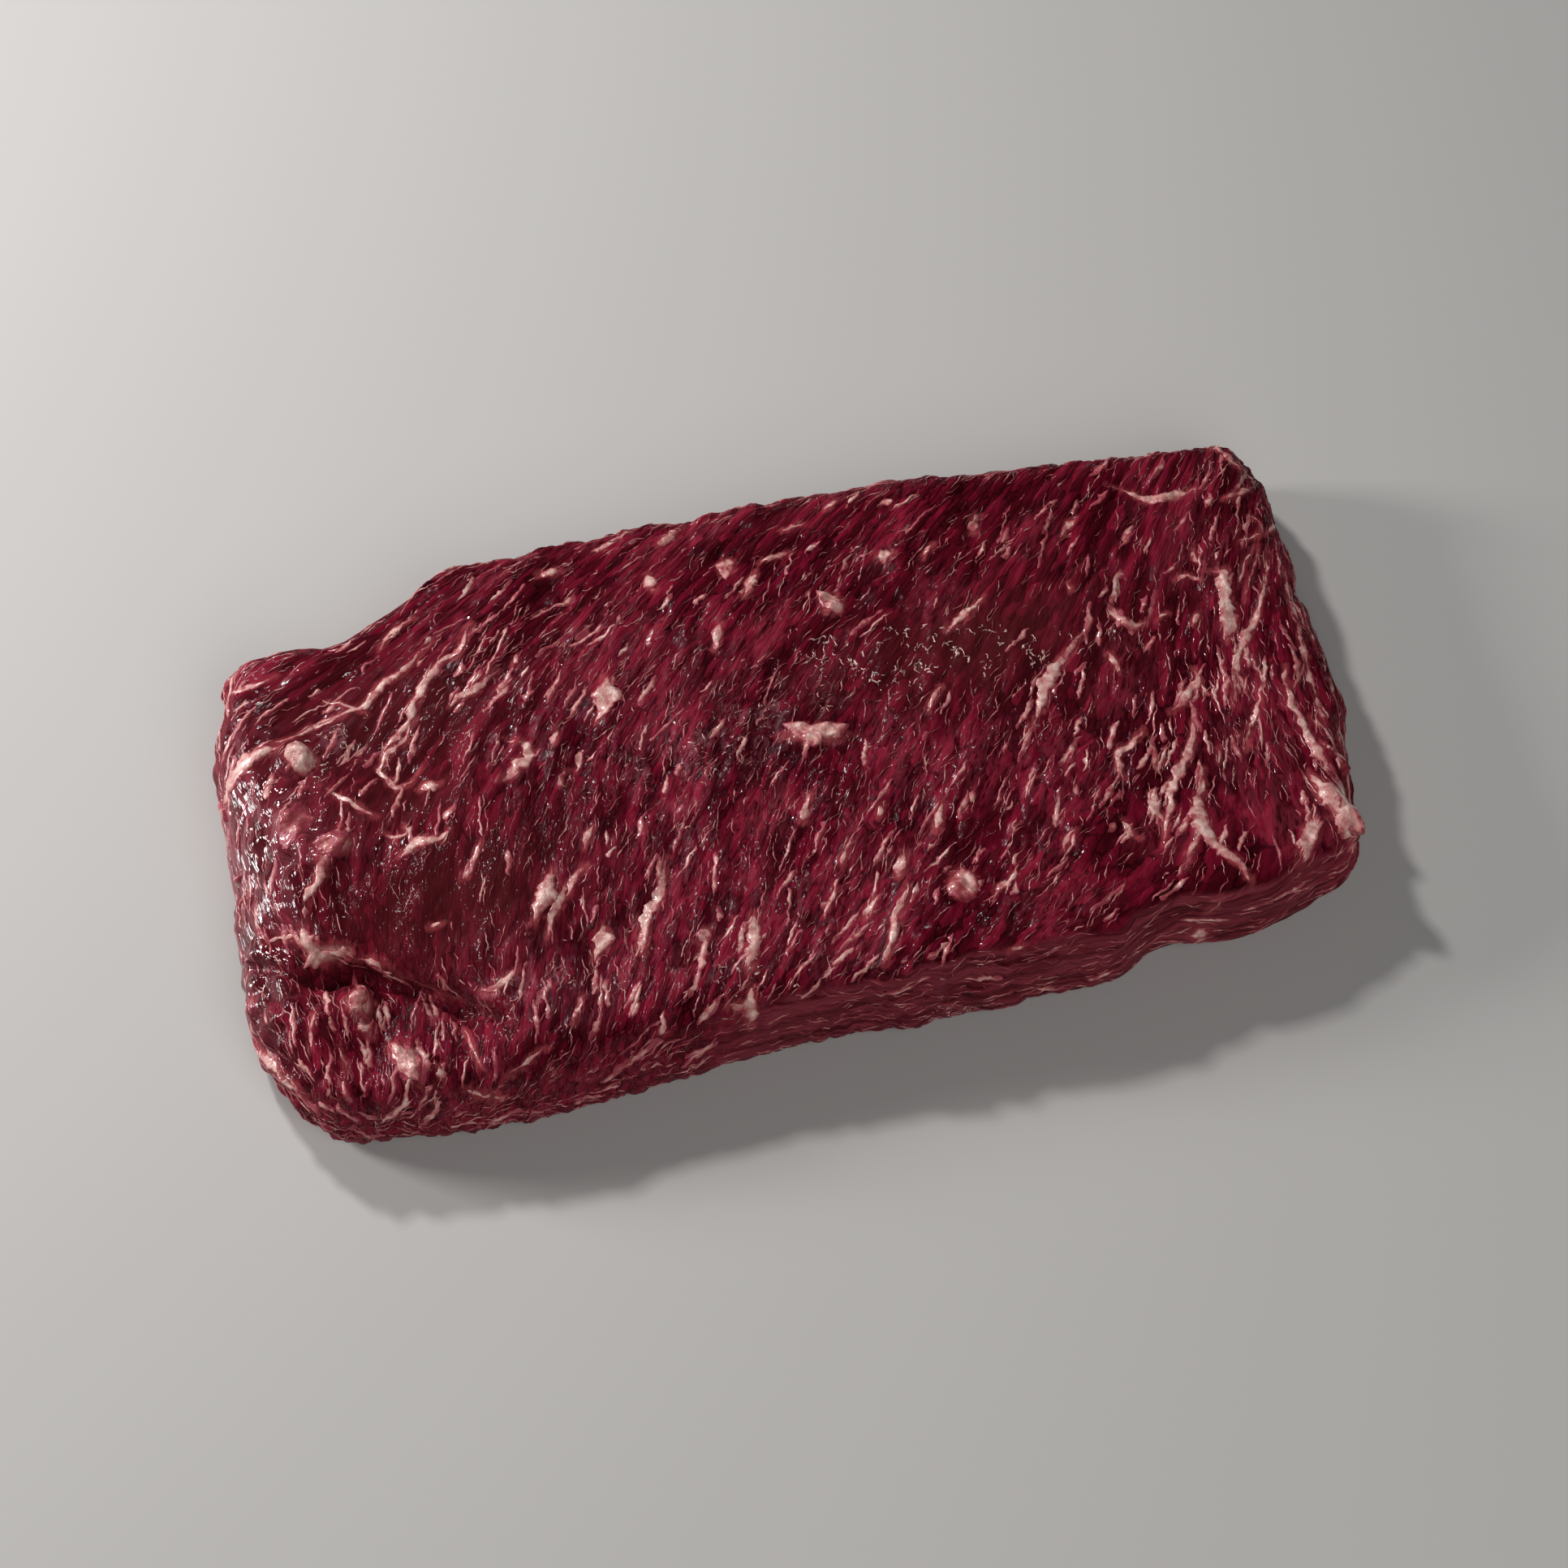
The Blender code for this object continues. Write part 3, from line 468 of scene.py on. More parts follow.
# %% The lumps that show most
# Name, then x, y, z, half length, half width, turn, thickness and paleness
LUMPS = [
    ("knob", (-112, 24, 30, 4.6, 4.6, -17, 2.0, 0.60)),
    ("rough patch", (-118, 7, 28, 6.0, 5.0, 60, 0.8, -0.55)),
    ("flap", (-110, -2, 31, 5.8, 4.0, 10, 1.0, -0.45)),
    ("lump in the fold", (-114, -42, 26, 4.2, 3.6, 60, 1.4, -0.10)),
    ("lump's foot", (-114, -47, 23, 1.8, 3.0, 20, 0.8, 0.10)),
    ("lobe streak", (-107, -59, 24, 7.4, 3.0, 108, 1.0, 0.10)),
    ("centre chip", (6, -4, 27, 8.4, 3.6, -17, 0.9, 0.25)),
    ("far chip", (21, 32, 27, 3.6, 4.2, -17, 0.9, 0.20)),
    ("near chip", (26, -53, 26, 4.0, 5.0, -17, 0.9, 0.05)),
    ("inner tip", (108, -63, 24, 7.0, 2.3, 50, 0.7, 0.30)),
    ("hanging end", (118.5, -58, 21, 12.0, 3.6, -72, 0.5, 0.40)),
    ("corner peak", (130, 49, 23, 5.6, 1.8, -58, 1.0, 0.25)),
    ("far patch", (0, 50, 26, 3.4, 2.6, 80, 0.8, 0.0)),
    ("scrap", (79, -73, 10, 3.0, 1.5, -10, 0.9, 0.35)),
    ("nub", (-122, 58, 17, 2.4, 2.0, 0, 0.6, -0.9)),
    ("spike", (-133, 3, 17, 1.6, 1.2, 0, 1.6, -0.4)),
    ("spike 2", (-133, -3, 16, 1.4, 1.1, 0, 1.6, -0.3)),
    ("bump", (-137, -30, 12, 2.2, 1.6, 90, 1.2, -0.5)),
    ("bead", (-132, 24, 15, 2.6, 2.0, 90, 1.4, -0.1)),
]

OUTLINES = {
    "knob": [
        (-4.4, 3.1), (-1.4, 5.0), (1.5, 4.5), (3.9, 1.7), (4.3, -1.8), (2.1, -5.0), (-0.8, -4.4),
        (-2.9, -1.8), (-5.0, 0.3),
    ],
    "centre chip": [
        (-8.4, 3.5), (-4.0, 3.8), (0.0, 3.0), (4.0, 3.5), (8.4, 2.7), (8.9, 0.6), (6.9, -1.8), (4.0, -2.4),
        (2.0, -3.3), (0.0, -4.4), (-2.5, -3.9), (-4.0, -1.8), (-5.9, 0.6),
    ],
    "far chip": [
        (-4.0, 4.5), (-1.5, 3.9), (1.0, 2.7), (3.0, -0.2), (3.7, -2.6), (2.5, -4.4), (0.0, -3.4),
        (-2.0, -2.0), (-3.3, 0.9),
    ],
    "near chip": [
        (0.0, 5.2), (3.0, 3.0), (4.0, -0.5), (3.0, -4.0), (-1.0, -5.0), (-3.6, -3.8), (-4.0, -0.5),
        (-2.2, 2.6),
    ],
}


def lump_frame(turn):
    """Two level directions for a lump: along its length and across it."""
    turn = math.radians(turn)
    return np.array([math.cos(turn), math.sin(turn), 0.0]), np.array([-math.sin(turn), math.cos(turn), 0.0])


def lump_distance(points):
    """About how far each point is from the edge of the nearest lump, negative inside it."""
    nearest = np.full(len(points), 99.0)
    for _, (x, y, z, half_length, half_width, turn, _, _) in LUMPS:
        length_way, width_way = lump_frame(turn)
        gap = points - (x, y, z)
        reach = np.sqrt((gap @ length_way / half_length) ** 2 + (gap @ width_way / half_width) ** 2)
        away = (reach - 0.85) * min(half_length, half_width) + 0.5 * np.maximum(np.abs(gap[:, 2]) - 5.0, 0.0)
        nearest = np.minimum(nearest, away)
    return nearest


print("lumps:", len(LUMPS))

# %% [markdown]
# ## Relief of the meat
# The bundles of fibres stand up as long rounded pads with creases between them. A cell pattern gives
# just that, if it is stretched along the fibres: each cell is a bundle, and the distance to its border
# shapes its rounded back. Broad noise makes some places rougher. The thick end's wet slope has closer
# and finer folds, and the lobe under the fold has strips that run down over its edge. The fold is a
# groove along a drawn line, with a raised rim above it. The torn end and the upper rim get small crags
# from a noise of a few millimetres. Sculpting by hand would do as well, but couldn't be done again.

# %% Sizes and places of the relief, in millimetres
BUNDLE_SIZES = [(20.0, 4.8, 1.15), (9.0, 2.5, 0.60)]
SLOPE_WRINKLES = (44.0, 2.3, 0.75)
LOBE_STRIPS = (30.0, 4.2, 0.8)
FOLD_LINE = [
    (-134, -21), (-125, -29), (-118, -32), (-112, -32), (-104, -38), (-97, -43), (-89, -49), (-83, -54),
]
FOLD_DEPTH, FOLD_RIM, LUMPY_END, RIM_CRAGS = 2.4, 0.7, 2.0, 0.8
LUMPY_PLACE = [(-118, 4, 10, 16), (-114, -44, 12, 10), (-136, -35, 8, 20)]
DOME_PLACE = [(-86, -22, 22, 17)]
SLOPE_PLACE = [(-128, 10, 12, 26), (-134, -18, 8, 20)]
LOBE_PLACE = [(-100, -60, 24, 12)]


print("bundles, length, width and height:", BUNDLE_SIZES)

# %% [markdown]
# ### Functions for the relief
# A soft rise and a soft round patch say where a feature is. The cells give bundles their rounded
# backs; plain waves would look like corrugated board. The path measures how far a point is from the
# fold, and on which side of it.


# %% Soft rises, round patches, bundles and paths
def step(low, high, value):
    """0 below low, 1 above high, and a smooth rise between."""
    t = np.clip((value - low) / (high - low), 0.0, 1.0)
    return t * t * (3 - 2 * t)


def patches(points, rows):
    """1 in the middle of the patches, falling to 0 beyond them; a row is x, y and two half sizes."""
    total = np.zeros(len(points))
    for x, y, half_x, half_y in rows:
        reach = ((points[:, 0] - x) / half_x) ** 2 + ((points[:, 1] - y) / half_y) ** 2
        total = np.maximum(total, np.exp(-reach))
    return total


def cell_backs(along, across, height, size):
    """The rounded backs of cells of that length and width: 0 on their borders, near 1 in the middle."""
    length, width, _ = size
    backs = np.empty(len(along))
    for k, (a, c, z) in enumerate(zip(along / length, across / width, height / width)):
        warp = 0.55 * noise.noise((a * 1.9, c * 0.6, z + 4.0))
        distances, _ = noise.voronoi(Vector((a, c + warp, z * 0.5)))
        backs[k] = min((distances[1] - distances[0]) * 1.6, 1.0)
    return np.sqrt(backs) - 0.6


def path_distance(points, path):
    """Distance in plan from a path, and which side: positive to the left of its way."""
    nearest, sign = np.full(len(points), 99.0), np.ones(len(points))
    for start, end in zip(np.array(path, float), np.array(path[1:], float)):
        way = end - start
        gap = points[:, :2] - start
        t = np.clip(gap @ way / (way @ way), 0.0, 1.0)
        away = np.linalg.norm(gap - t[:, None] * way, axis=1)
        side = np.sign(way[0] * gap[:, 1] - way[1] * gap[:, 0])
        sign = np.where(away < nearest, side, sign)
        nearest = np.minimum(nearest, away)
    return nearest * sign


# %% [markdown]
# ### The relief itself
# Two sizes of bundle lie over each other, as they do in a muscle. The sum is pushed out along the
# skin's own direction. It is held inside the solid's box, so the steak stays as large as the solid.

# %% Lift the bundles
along, across = fibre_place(points)
outward = normals(wrapped)
relief = np.zeros(len(points))
for size in BUNDLE_SIZES:
    relief += size[2] * cell_backs(along, across, points[:, 2], size)
rough = np.array([noise.noise(Vector(p) / 26.0) for p in points])
relief *= 0.95 + 1.0 * rough
relief *= 1 - 0.6 * patches(points, DOME_PLACE)
slope = patches(points, SLOPE_PLACE)
x, y, z = points.T
wrinkles = cell_backs(y, x * 0.6 - z * 0.8, z * 0, SLOPE_WRINKLES)
relief = relief * (1 - 0.75 * slope) + SLOPE_WRINKLES[2] * wrinkles * slope
strips = cell_backs(y - z, x + 0.15 * y, z * 0, LOBE_STRIPS)
relief += LOBE_STRIPS[2] * strips * patches(points, LOBE_PLACE)
from_fold = path_distance(points, FOLD_LINE)
relief -= FOLD_DEPTH * np.exp(-((from_fold + 0.6) / 1.3) ** 2)
relief += FOLD_RIM * np.exp(-((from_fold - 2.2) / 1.5) ** 2)
lumps_here = np.array([noise.noise(Vector(p) / 4.5) for p in points])
relief += LUMPY_END * lumps_here * patches(points, LUMPY_PLACE)
rim = step(0.95, 0.75, outward[:, 2]) * step(-0.2, 0.3, outward[:, 2])
crags = np.array([noise.noise(Vector((p[0] / 7, p[1] / 7, p[2] / 12))) for p in points])
relief += RIM_CRAGS * crags * rim
relief *= step(0.0, 3.0, points[:, 2])
points = points + outward * relief[:, None]
low, high = (np.array(corner) / MM for corner in solid_box)
points = np.clip(points, low, high)
set_positions(wrapped, points)
print("relief, mm:", round(float(relief.min()), 2), "to", round(float(relief.max()), 2))

# %% [markdown]
# ## The hidden underside
# The steak lies on its underside, so nobody sees it. Deleting it would leave a hole, so all faces that
# lie on the table are joined into one, which is then cut into as few triangles as it takes.

# %% Thin out the underside
work = bmesh.new()
work.from_mesh(wrapped)
under = [face for face in work.faces if all(vertex.co.z < 1e-6 for vertex in face.verts)]
joined = bmesh.ops.dissolve_faces(work, faces=under, use_verts=False)["region"]
bmesh.ops.triangulate(work, faces=joined)
work.to_mesh(wrapped)
work.free()
wrapped.shade_smooth()
print("lean:", sum(len(p.vertices) - 2 for p in wrapped.polygons), "triangles")

# %% [markdown]
# ## What the skin knows about itself
# Materials and Geometry Nodes can read numbers that are kept at each vertex. The skin keeps its fibre
# coordinates, a second set that runs in a ring round the side wall, the way the fibres run in space,
# and maps of where the meat is walled, wet, silvery, brown, webbed with loose tissue, or near to fat.
# Painting the maps by hand would be freer. Here they are soft round patches, and a noise tears some of
# them, which is enough for meat and stays easy to change.

# %% Places and functions for the maps
SILVER_PLACE = [(-21, -1, 24, 6), (-2, 6, 14, 7), (-78, -48, 12, 8), (18, -76, 5, 3), (-101, 28, 7, 5)]
BROWN_PLACE = [(-86, -22, 26, 18), (52, 10, 30, 14), (-92, 8, 20, 10), (-92, 30, 30, 18)]
WEB_PLACE = [(20, 17, 12, 7), (40, 11, 14, 6), (60, 5, 14, 5), (-26, -62, 9, 5), (-100, 26, 9, 6)]
WAIST, WALL_TILT = 7.5, 0.64


def keep(mesh, name, values):
    """Stores one number, or one vector, for each vertex."""
    kind = "FLOAT" if values.ndim == 1 else "FLOAT_VECTOR"
    slot = mesh.attributes.new(name, kind, "POINT")
    slot.data.foreach_set("value" if values.ndim == 1 else "vector", values.astype(np.float32).ravel())


def compass(points):
    """The direction of each point from the middle."""
    return np.arctan2(points[:, 0], -points[:, 1])


def smooth_run(places):
    """A closed line of places, evened out by averaging each with its neighbours."""
    for _ in range(30):
        places = (np.roll(places, 1, axis=0) + places + np.roll(places, -1, axis=0)) / 3
    return places


def grain_way(points, outward, wall):
    """The direction in which the fibres run at each point, along the surface."""
    _, slope_x, slope_y = quartic_terms(points[:, 0] / HALF_LENGTH, points[:, 1] / HALF_WIDTH)
    top_way = np.array([ACROSS @ slope_y, -ACROSS @ slope_x, 0 * wall]).T
    top_way /= np.linalg.norm(top_way, axis=1)[:, None]
    side_way = np.array([-outward[:, 1], outward[:, 0], 0 * wall]).T
    side_way *= np.sign((side_way * top_way).sum(axis=1))[:, None]
    way = top_way * (1 - wall[:, None]) + side_way * wall[:, None]
    way -= outward * (way * outward).sum(axis=1)[:, None]
    return way / np.maximum(np.linalg.norm(way, axis=1), 1e-6)[:, None]


def fleck_share(points, tone):
    """How many flecks: many near both ends and along the near side, few in the brown middle."""
    rich = patches(points, [(85, -15, 55, 60), (-75, 45, 45, 25), (-30, -50, 50, 22), (-105, -55, 30, 16)])
    calm = patches(points, [(45, 8, 32, 18), (-88, -22, 20, 16), (-8, -18, 22, 12)])
    return np.clip(0.35 + 0.9 * rich - 0.9 * calm, 0.05, 1.2) * np.clip(0.3 + 1.3 * tone, 0.1, 1.6)


def thread_share(points, tone, wall):
    """How many threads: few where the meat is brown and smooth, a little fewer on the wall."""
    off_brown = 1 - 0.85 * patches(points, BROWN_PLACE)
    return (1 - 0.2 * wall) * off_brown * step(2.0, 6.0, points[:, 2]) * (0.55 + 0.9 * tone)


# %% [markdown]
# ### The maps
# On the side wall the fibres run round the steak, so a walk round its waist gives each point its place
# on a ring. A ring has no end, so the pattern has no seam. The wall's map is broken up by a noise, or
# its upper edge would be a drawn line.

# %% Keep the maps on the skin
points = positions(wrapped)
along, across = fibre_place(points)
calm_outward = smooth(normals(wrapped), edge_pairs(wrapped), 12)
calm_outward /= np.linalg.norm(calm_outward, axis=1)[:, None]
waist = points[np.abs(points[:, 2] - WAIST) < 0.5]
waist = waist[np.argsort(compass(waist))]
run = np.concatenate([[0.0], np.cumsum(np.linalg.norm(np.diff(smooth_run(waist[:, :2]), axis=0), axis=1))])
around = np.interp(compass(points), compass(waist), run)
ring = float(run[-1]) / math.tau
wobble = np.array([noise.noise((p[0] / 14, p[1] / 14, 2.0)) for p in points])
wall = step(WALL_TILT + 0.16, WALL_TILT - 0.16, calm_outward[:, 2] + 0.16 * wobble)
runs_over = step(-20.0, -50.0, points[:, 0]) * step(0.0, -30.0, points[:, 1]) * step(5.0, 9.0, points[:, 2])
wall *= 1 - 0.85 * runs_over
fat_edge = np.minimum(streak_distance(points), lump_distance(points))
ends = step(8.0, -4.0, np.abs(points[:, 0] + 5) - 115)
torn = step(-0.25, 0.30, np.array([noise.noise(Vector(p) / 5.0) for p in points]))
scatter_tone = np.array([0.5 + 0.8 * noise.noise((p[0] / 22, p[1] / 16, 7.0)) for p in points])
maps = {
    "fibre": np.array([along, across, points[:, 2]]).T,
    "side": np.array([np.cos(around / ring) * ring, np.sin(around / ring) * ring, points[:, 2] * 1.1]).T,
    "outward": calm_outward,
    "grain": grain_way(points, calm_outward, wall),
    "wall": wall,
    "slick": np.maximum(patches(points, SLOPE_PLACE), 0.25 * wall * ends),
    "fat_edge": fat_edge,
    "silver": patches(points, SILVER_PLACE) * torn,
    "brown": patches(points, BROWN_PLACE),
    "web": patches(points, WEB_PLACE) * torn,
    "thready": thread_share(points, scatter_tone, wall),
    "flecked": (1 - 0.45 * wall) * step(4.0, 9.0, points[:, 2]) * fleck_share(points, scatter_tone),
}
for name, values in maps.items():
    keep(wrapped, name, values)
print("wall:", round(100 * float(wall.mean())), "% of the points; edge, mm:", round(float(run[-1])))

# %% [markdown]
# ## Raw lean beef
# Fresh lean beef, cut and trimmed, is dark crimson, a little see-through, and wet. Myoglobin gives the
# colour, so it runs from purple-red to brown-red. Each bundle of fibres has a tone of its own, creases
# part them and are darkened with painted shade, and a film of juice gives small sharp highlights. The film
# is the shader's coat, with a ripple of its own. The meat below it has no gloss of its own, because two
# glosses look like dust.

# %% Colours, and small functions for shaders
# The crease colour is painted shade for the creases between the bundles.
PAINTED_CREASE_SHADE, LEAN_DARK, LEAN_MID, LEAN_BRIGHT = "#240309", "#460914", "#630c20", "#80182e"
# The wall colour is partly the cut side's own red and partly painted light, lighter as the front fill would
# make it.
LEAN_BROWN, LEAN_WALL_WITH_PAINTED_LIGHT, LEAN_PINK, SILVER = "#4c181c", "#7c2832", "#9c3c4c", "#a8707c"
SLOPE_PINK = "#8a444e"
FAT_PINK, FAT, FAT_CREAM = "#a8484e", "#cf908a", "#efc8be"


def material(name):
    """A new material with an empty tree, and its tree."""
    made = bpy.data.materials.new(name)
    made.use_nodes = True
    made.node_tree.nodes.clear()
    return made, made.node_tree


def stretched(tree, fibre, length, width, shift=0.0):
    """Fibre coordinates scaled so that one unit is that length along and that width across."""
    scale = (1 / length, 1 / width, 0.7 / width)
    inputs = {"Vector": fibre, "Scale": scale, "Location": (shift, shift, shift)}
    return put(tree, "ShaderNodeMapping", inputs).outputs[0]


def rounded(tree, side, length, height, shift=0.0):
    """Side coordinates scaled so that one unit is that length round the ring and that height."""
    scale = (1 / length, 1 / length, 1 / height)
    inputs = {"Vector": side, "Scale": scale, "Location": (shift, shift, shift)}
    return put(tree, "ShaderNodeMapping", inputs).outputs[0]


def total(tree, *parts):
    """The sum of numbers, each times its own share."""
    result = None
    for value, share in parts:
        part = put(tree, "ShaderNodeMath", {0: value, 1: share}, operation="MULTIPLY").outputs[0]
        if result is not None:
            part = put(tree, "ShaderNodeMath", {0: result, 1: part}, operation="ADD").outputs[0]
        result = part
    return result


def where(tree, share, *masks):
    """A share, times masks from 0 to 1. A mask can be a number, with where it starts and stops rising."""
    result = None
    for mask in masks:
        if isinstance(mask, tuple):
            inputs = dict(zip(("Value", "From Min", "From Max"), mask))
            mask = put(tree, "ShaderNodeMapRange", inputs, interpolation_type="SMOOTHSTEP").outputs[0]
        result = mask if result is None else total(tree, (result, mask))
    return result if share == 1 else total(tree, (result, share))


def painted(tree, under, over, share, *masks):
    """One colour painted over another, that far at most, where all the masks are high."""
    inputs = {"Factor": where(tree, share, *masks)}
    for key, colour in ((6, under), (7, over)):
        inputs[key] = linear(colour) if isinstance(colour, str) else colour
    return put(tree, "ShaderNodeMix", inputs, data_type="RGBA").outputs[2]


def moved(tree, place, way, amount):
    """A place, moved along a way by that amount."""
    push = put(tree, "ShaderNodeVectorMath", {0: way, "Scale": amount}, operation="SCALE").outputs[0]
    return put(tree, "ShaderNodeVectorMath", {0: place, 1: push}, operation="ADD").outputs[0]


def warped(tree, place, wander, amount, scale=1.0, detail=2.0):
    """A place, pushed about by a noise, so that straight things wander."""
    inputs = {"Vector": wander, "Scale": scale, "Detail": detail}
    push = put(tree, "ShaderNodeTexNoise", inputs).outputs["Color"]
    push = put(tree, "ShaderNodeVectorMath", {0: push, 1: (0.5, 0.5, 0.5)}, operation="SUBTRACT").outputs[0]
    return moved(tree, place, push, amount)


def ridges(tree, vector):
    """Sharp rounded ridges: a noise folded over at its middle value."""
    inputs = {"Vector": vector, "Scale": 1.0, "Detail": 2.0, "Distortion": 0.3}
    level = put(tree, "ShaderNodeTexNoise", inputs).outputs[0]
    away = total(tree, (level, 1.0), (1.0, -0.5))
    away = put(tree, "ShaderNodeMath", {0: away}, operation="ABSOLUTE").outputs[0]
    return where(tree, 1, (away, 0.16, 0.0))


print("lean's crimson as linear red, green and blue:", [round(v, 3) for v in linear(LEAN_MID)[:3]])

# %% [markdown]
# ### The colour of the lean
# From broad to fine: soft patches of tone, the tone of each bundle, a mottle, painted shade in the creases
# and paler folds. Then come the brown places where the meat has dried, the wall, and the pink stain beside
# fat.

# %% Lean: colour
lean_skin, tree = material("raw_lean_beef")
fibre, side = (
    put(tree, "ShaderNodeAttribute", attribute_name=name).outputs["Vector"] for name in ("fibre", "side")
)
fat_edge, silver, brown, wall, slick, web = (
    put(tree, "ShaderNodeAttribute", attribute_name=name).outputs["Fac"]
    for name in ("fat_edge", "silver", "brown", "wall", "slick", "web")
)

# Each noise has its size in millimetres, how many finer noises lie on it, and how far it is bent
broad, mottle, rag, ripple, side_fibres, slope_lines = (
    put(
        tree,
        "ShaderNodeTexNoise",
        {"Vector": vector, "Scale": 1.0, "Detail": detail, "Distortion": bent},
    ).outputs[0]
    for vector, detail, bent in (
        (stretched(tree, fibre, 30.0, 14.0), 3.0, 0.0),
        (stretched(tree, fibre, 9.0, 4.0, 6.0), 3.0, 0.6),
        (stretched(tree, fibre, 3.0, 1.2, 13.0), 3.0, 0.5),
        (stretched(tree, fibre, 1.5, 0.7, 71.0), 2.0, 0.6),
        (rounded(tree, side, 26.0, 1.3, 3.1), 3.0, 0.4),
        (rounded(tree, side, 14.0, 0.7, 41.0), 2.0, 0.3),
    )
)

# Fibre bundles about 1.7 mm wide and 12 mm long, and finer folds between them
packing = warped(tree, stretched(tree, fibre, 12.0, 1.7), stretched(tree, fibre, 5.0, 3.0, 2.0), 0.9)
inputs = {"Vector": packing, "Scale": 1.0}
bundles = put(tree, "ShaderNodeTexVoronoi", inputs, feature="DISTANCE_TO_EDGE").outputs["Distance"]
bundle_colours = put(tree, "ShaderNodeTexVoronoi", inputs, feature="F1").outputs["Color"]
own_tone = put(tree, "ShaderNodeSeparateColor", {"Color": bundle_colours}).outputs[0]
folds = ridges(tree, stretched(tree, fibre, 6.0, 1.0, 23.0))
side_folds = ridges(tree, rounded(tree, side, 15.0, 1.8, 11.0))

tone = total(tree, (broad, 0.45), (own_tone, 0.28), (mottle, 0.34), (1.0, 0.02))
colour = painted(tree, LEAN_DARK, LEAN_MID, 1, (tone, 0.46, 0.60))
colour = painted(tree, colour, LEAN_BRIGHT, 1, (tone, 0.56, 0.72))
# Painted shade: the creases between the bundles are darkened where shade falls in them.
colour = painted(tree, colour, PAINTED_CREASE_SHADE, 0.90, (bundles, 0.12, 0.0), (mottle, 0.62, 0.44))
colour = painted(tree, colour, LEAN_PINK, 0.30, folds, (broad, 0.40, 0.62))
colour = painted(tree, colour, LEAN_BROWN, 0.85, brown)
# The wall's lighter red is partly the side's own colour and partly painted light, standing in for the fill
# that falls on the near wall.
side_colour = painted(tree, LEAN_DARK, LEAN_WALL_WITH_PAINTED_LIGHT, 1, (side_fibres, 0.36, 0.62))
side_colour = painted(tree, side_colour, LEAN_PINK, 0.38, side_folds)
colour = painted(tree, colour, side_colour, 0.85, wall)

# The lean is stained pink beside fat, and a thin torn membrane makes it milky in places
rag = total(tree, (rag, 1.0), (1.0, -0.5))
stain_edge = total(tree, (fat_edge, 1.0), (rag, 3.4))
colour = painted(tree, colour, FAT_PINK, 0.55, (stain_edge, 1.1, -0.4))
colour = painted(tree, colour, FAT, 1, (fat_edge, -0.3, -1.6))
inputs = {"Vector": stretched(tree, fibre, 2.6, 1.4, 55.0), "Scale": 1.0, "Detail": 4.0}
inputs.update({"Distortion": 0.8, "Roughness": 0.65})
haze = put(tree, "ShaderNodeTexNoise", inputs).outputs[0]
colour = painted(tree, colour, SILVER, 0.40, silver, (haze, 0.42, 0.66))

slope_colour = painted(tree, LEAN_BROWN, SLOPE_PINK, 1, (side_fibres, 0.40, 0.62))
colour = painted(tree, colour, slope_colour, 0.75, slick)
print("lean's colour:", len(tree.nodes), "nodes")

# %% [markdown]
# ### The juice on the lean
# The film of juice has its own fine ripple, about 0.8 mm, that breaks highlights into glints. On the
# wet slope the ripple is drawn out into lines. The film lies in patches, and it is whole on the slope.
# The small relief is a bump here, since it is finer than the net; all larger relief is real.

# %% Lean: relief and film of juice
calm = total(tree, (1.0, 1.0), (brown, -0.6))
backs = where(tree, 1, (bundles, 0.0, 0.40))
top_height = total(tree, (backs, 0.17), (folds, 0.10), (mottle, 0.6))
top_height = total(tree, (top_height, calm))
side_height = total(tree, (side_fibres, 0.45), (side_folds, 0.34))
steep = put(tree, "ShaderNodeMath", {0: wall, 1: slick}, operation="MAXIMUM").outputs[0]
level = total(tree, (1.0, 1.0), (steep, -1.0))
height = total(tree, (top_height, level), (side_height, steep))
bump = put(tree, "ShaderNodeBump", {"Height": height, "Distance": 0.0009, "Strength": 1.0}).outputs[0]
dry = total(tree, (1.0, 1.0), (slick, -1.0))
film_ripple = total(tree, (ripple, dry), (slope_lines, slick))
film_height = total(tree, (height, 0.70), (film_ripple, 0.36))
film = put(tree, "ShaderNodeBump", {"Height": film_height, "Distance": 0.0009, "Strength": 1.0}).outputs[0]
wetness = put(tree, "ShaderNodeMapRange", {"Value": broad, "To Min": 0.28, "To Max": 0.45}).outputs[0]
glints = where(tree, 1, (ripple, 0.52, 0.62))
juice = total(tree, (glints, 0.75), (1.0, 0.08))
off_wall = total(tree, (1.0, 1.0), (wall, -0.55))
juice = total(tree, (juice, off_wall))
juice = total(tree, (juice, calm))
wet_places = total(tree, (web, 0.3))
wet_places = put(tree, "ShaderNodeMath", {0: slick, 1: wet_places}, operation="MAXIMUM").outputs[0]
juice = put(tree, "ShaderNodeMath", {0: juice, 1: wet_places}, operation="MAXIMUM").outputs[0]
shader = put(
    tree,
    "ShaderNodeBsdfPrincipled",
    {
        "Base Color": colour,
        "Roughness": wetness,
        "Normal": bump,
        "IOR": 1.35,
        "Specular IOR Level": 0.0,
        "Coat Weight": juice,
        "Coat Roughness": 0.04,
        "Coat IOR": 1.45,
        "Coat Normal": film,
    },
)
put(tree, "ShaderNodeOutputMaterial", {"Surface": shader.outputs[0]})
wrapped.materials.clear()
wrapped.materials.append(lean_skin)
print("lean's nodes:", len(tree.nodes))

# %% [markdown]
# ## Moist fat and connective tissue
# Raw beef fat is white to cream where it is thick. Where it is thin the red meat shows through, so
# its edges go pink. It is soft and moist, with a fine grain of small cells, and duller than the lean.
# Threads of connective tissue are the same stuff, thinner still, so they share this material.

# %% The fat's material
fat_skin, tree = material("moist_beef_fat")
thin, tint = (
    put(tree, "ShaderNodeAttribute", attribute_name=name).outputs["Fac"] for name in ("thin", "tint")
)
place = put(tree, "ShaderNodeTexCoord").outputs["Object"]


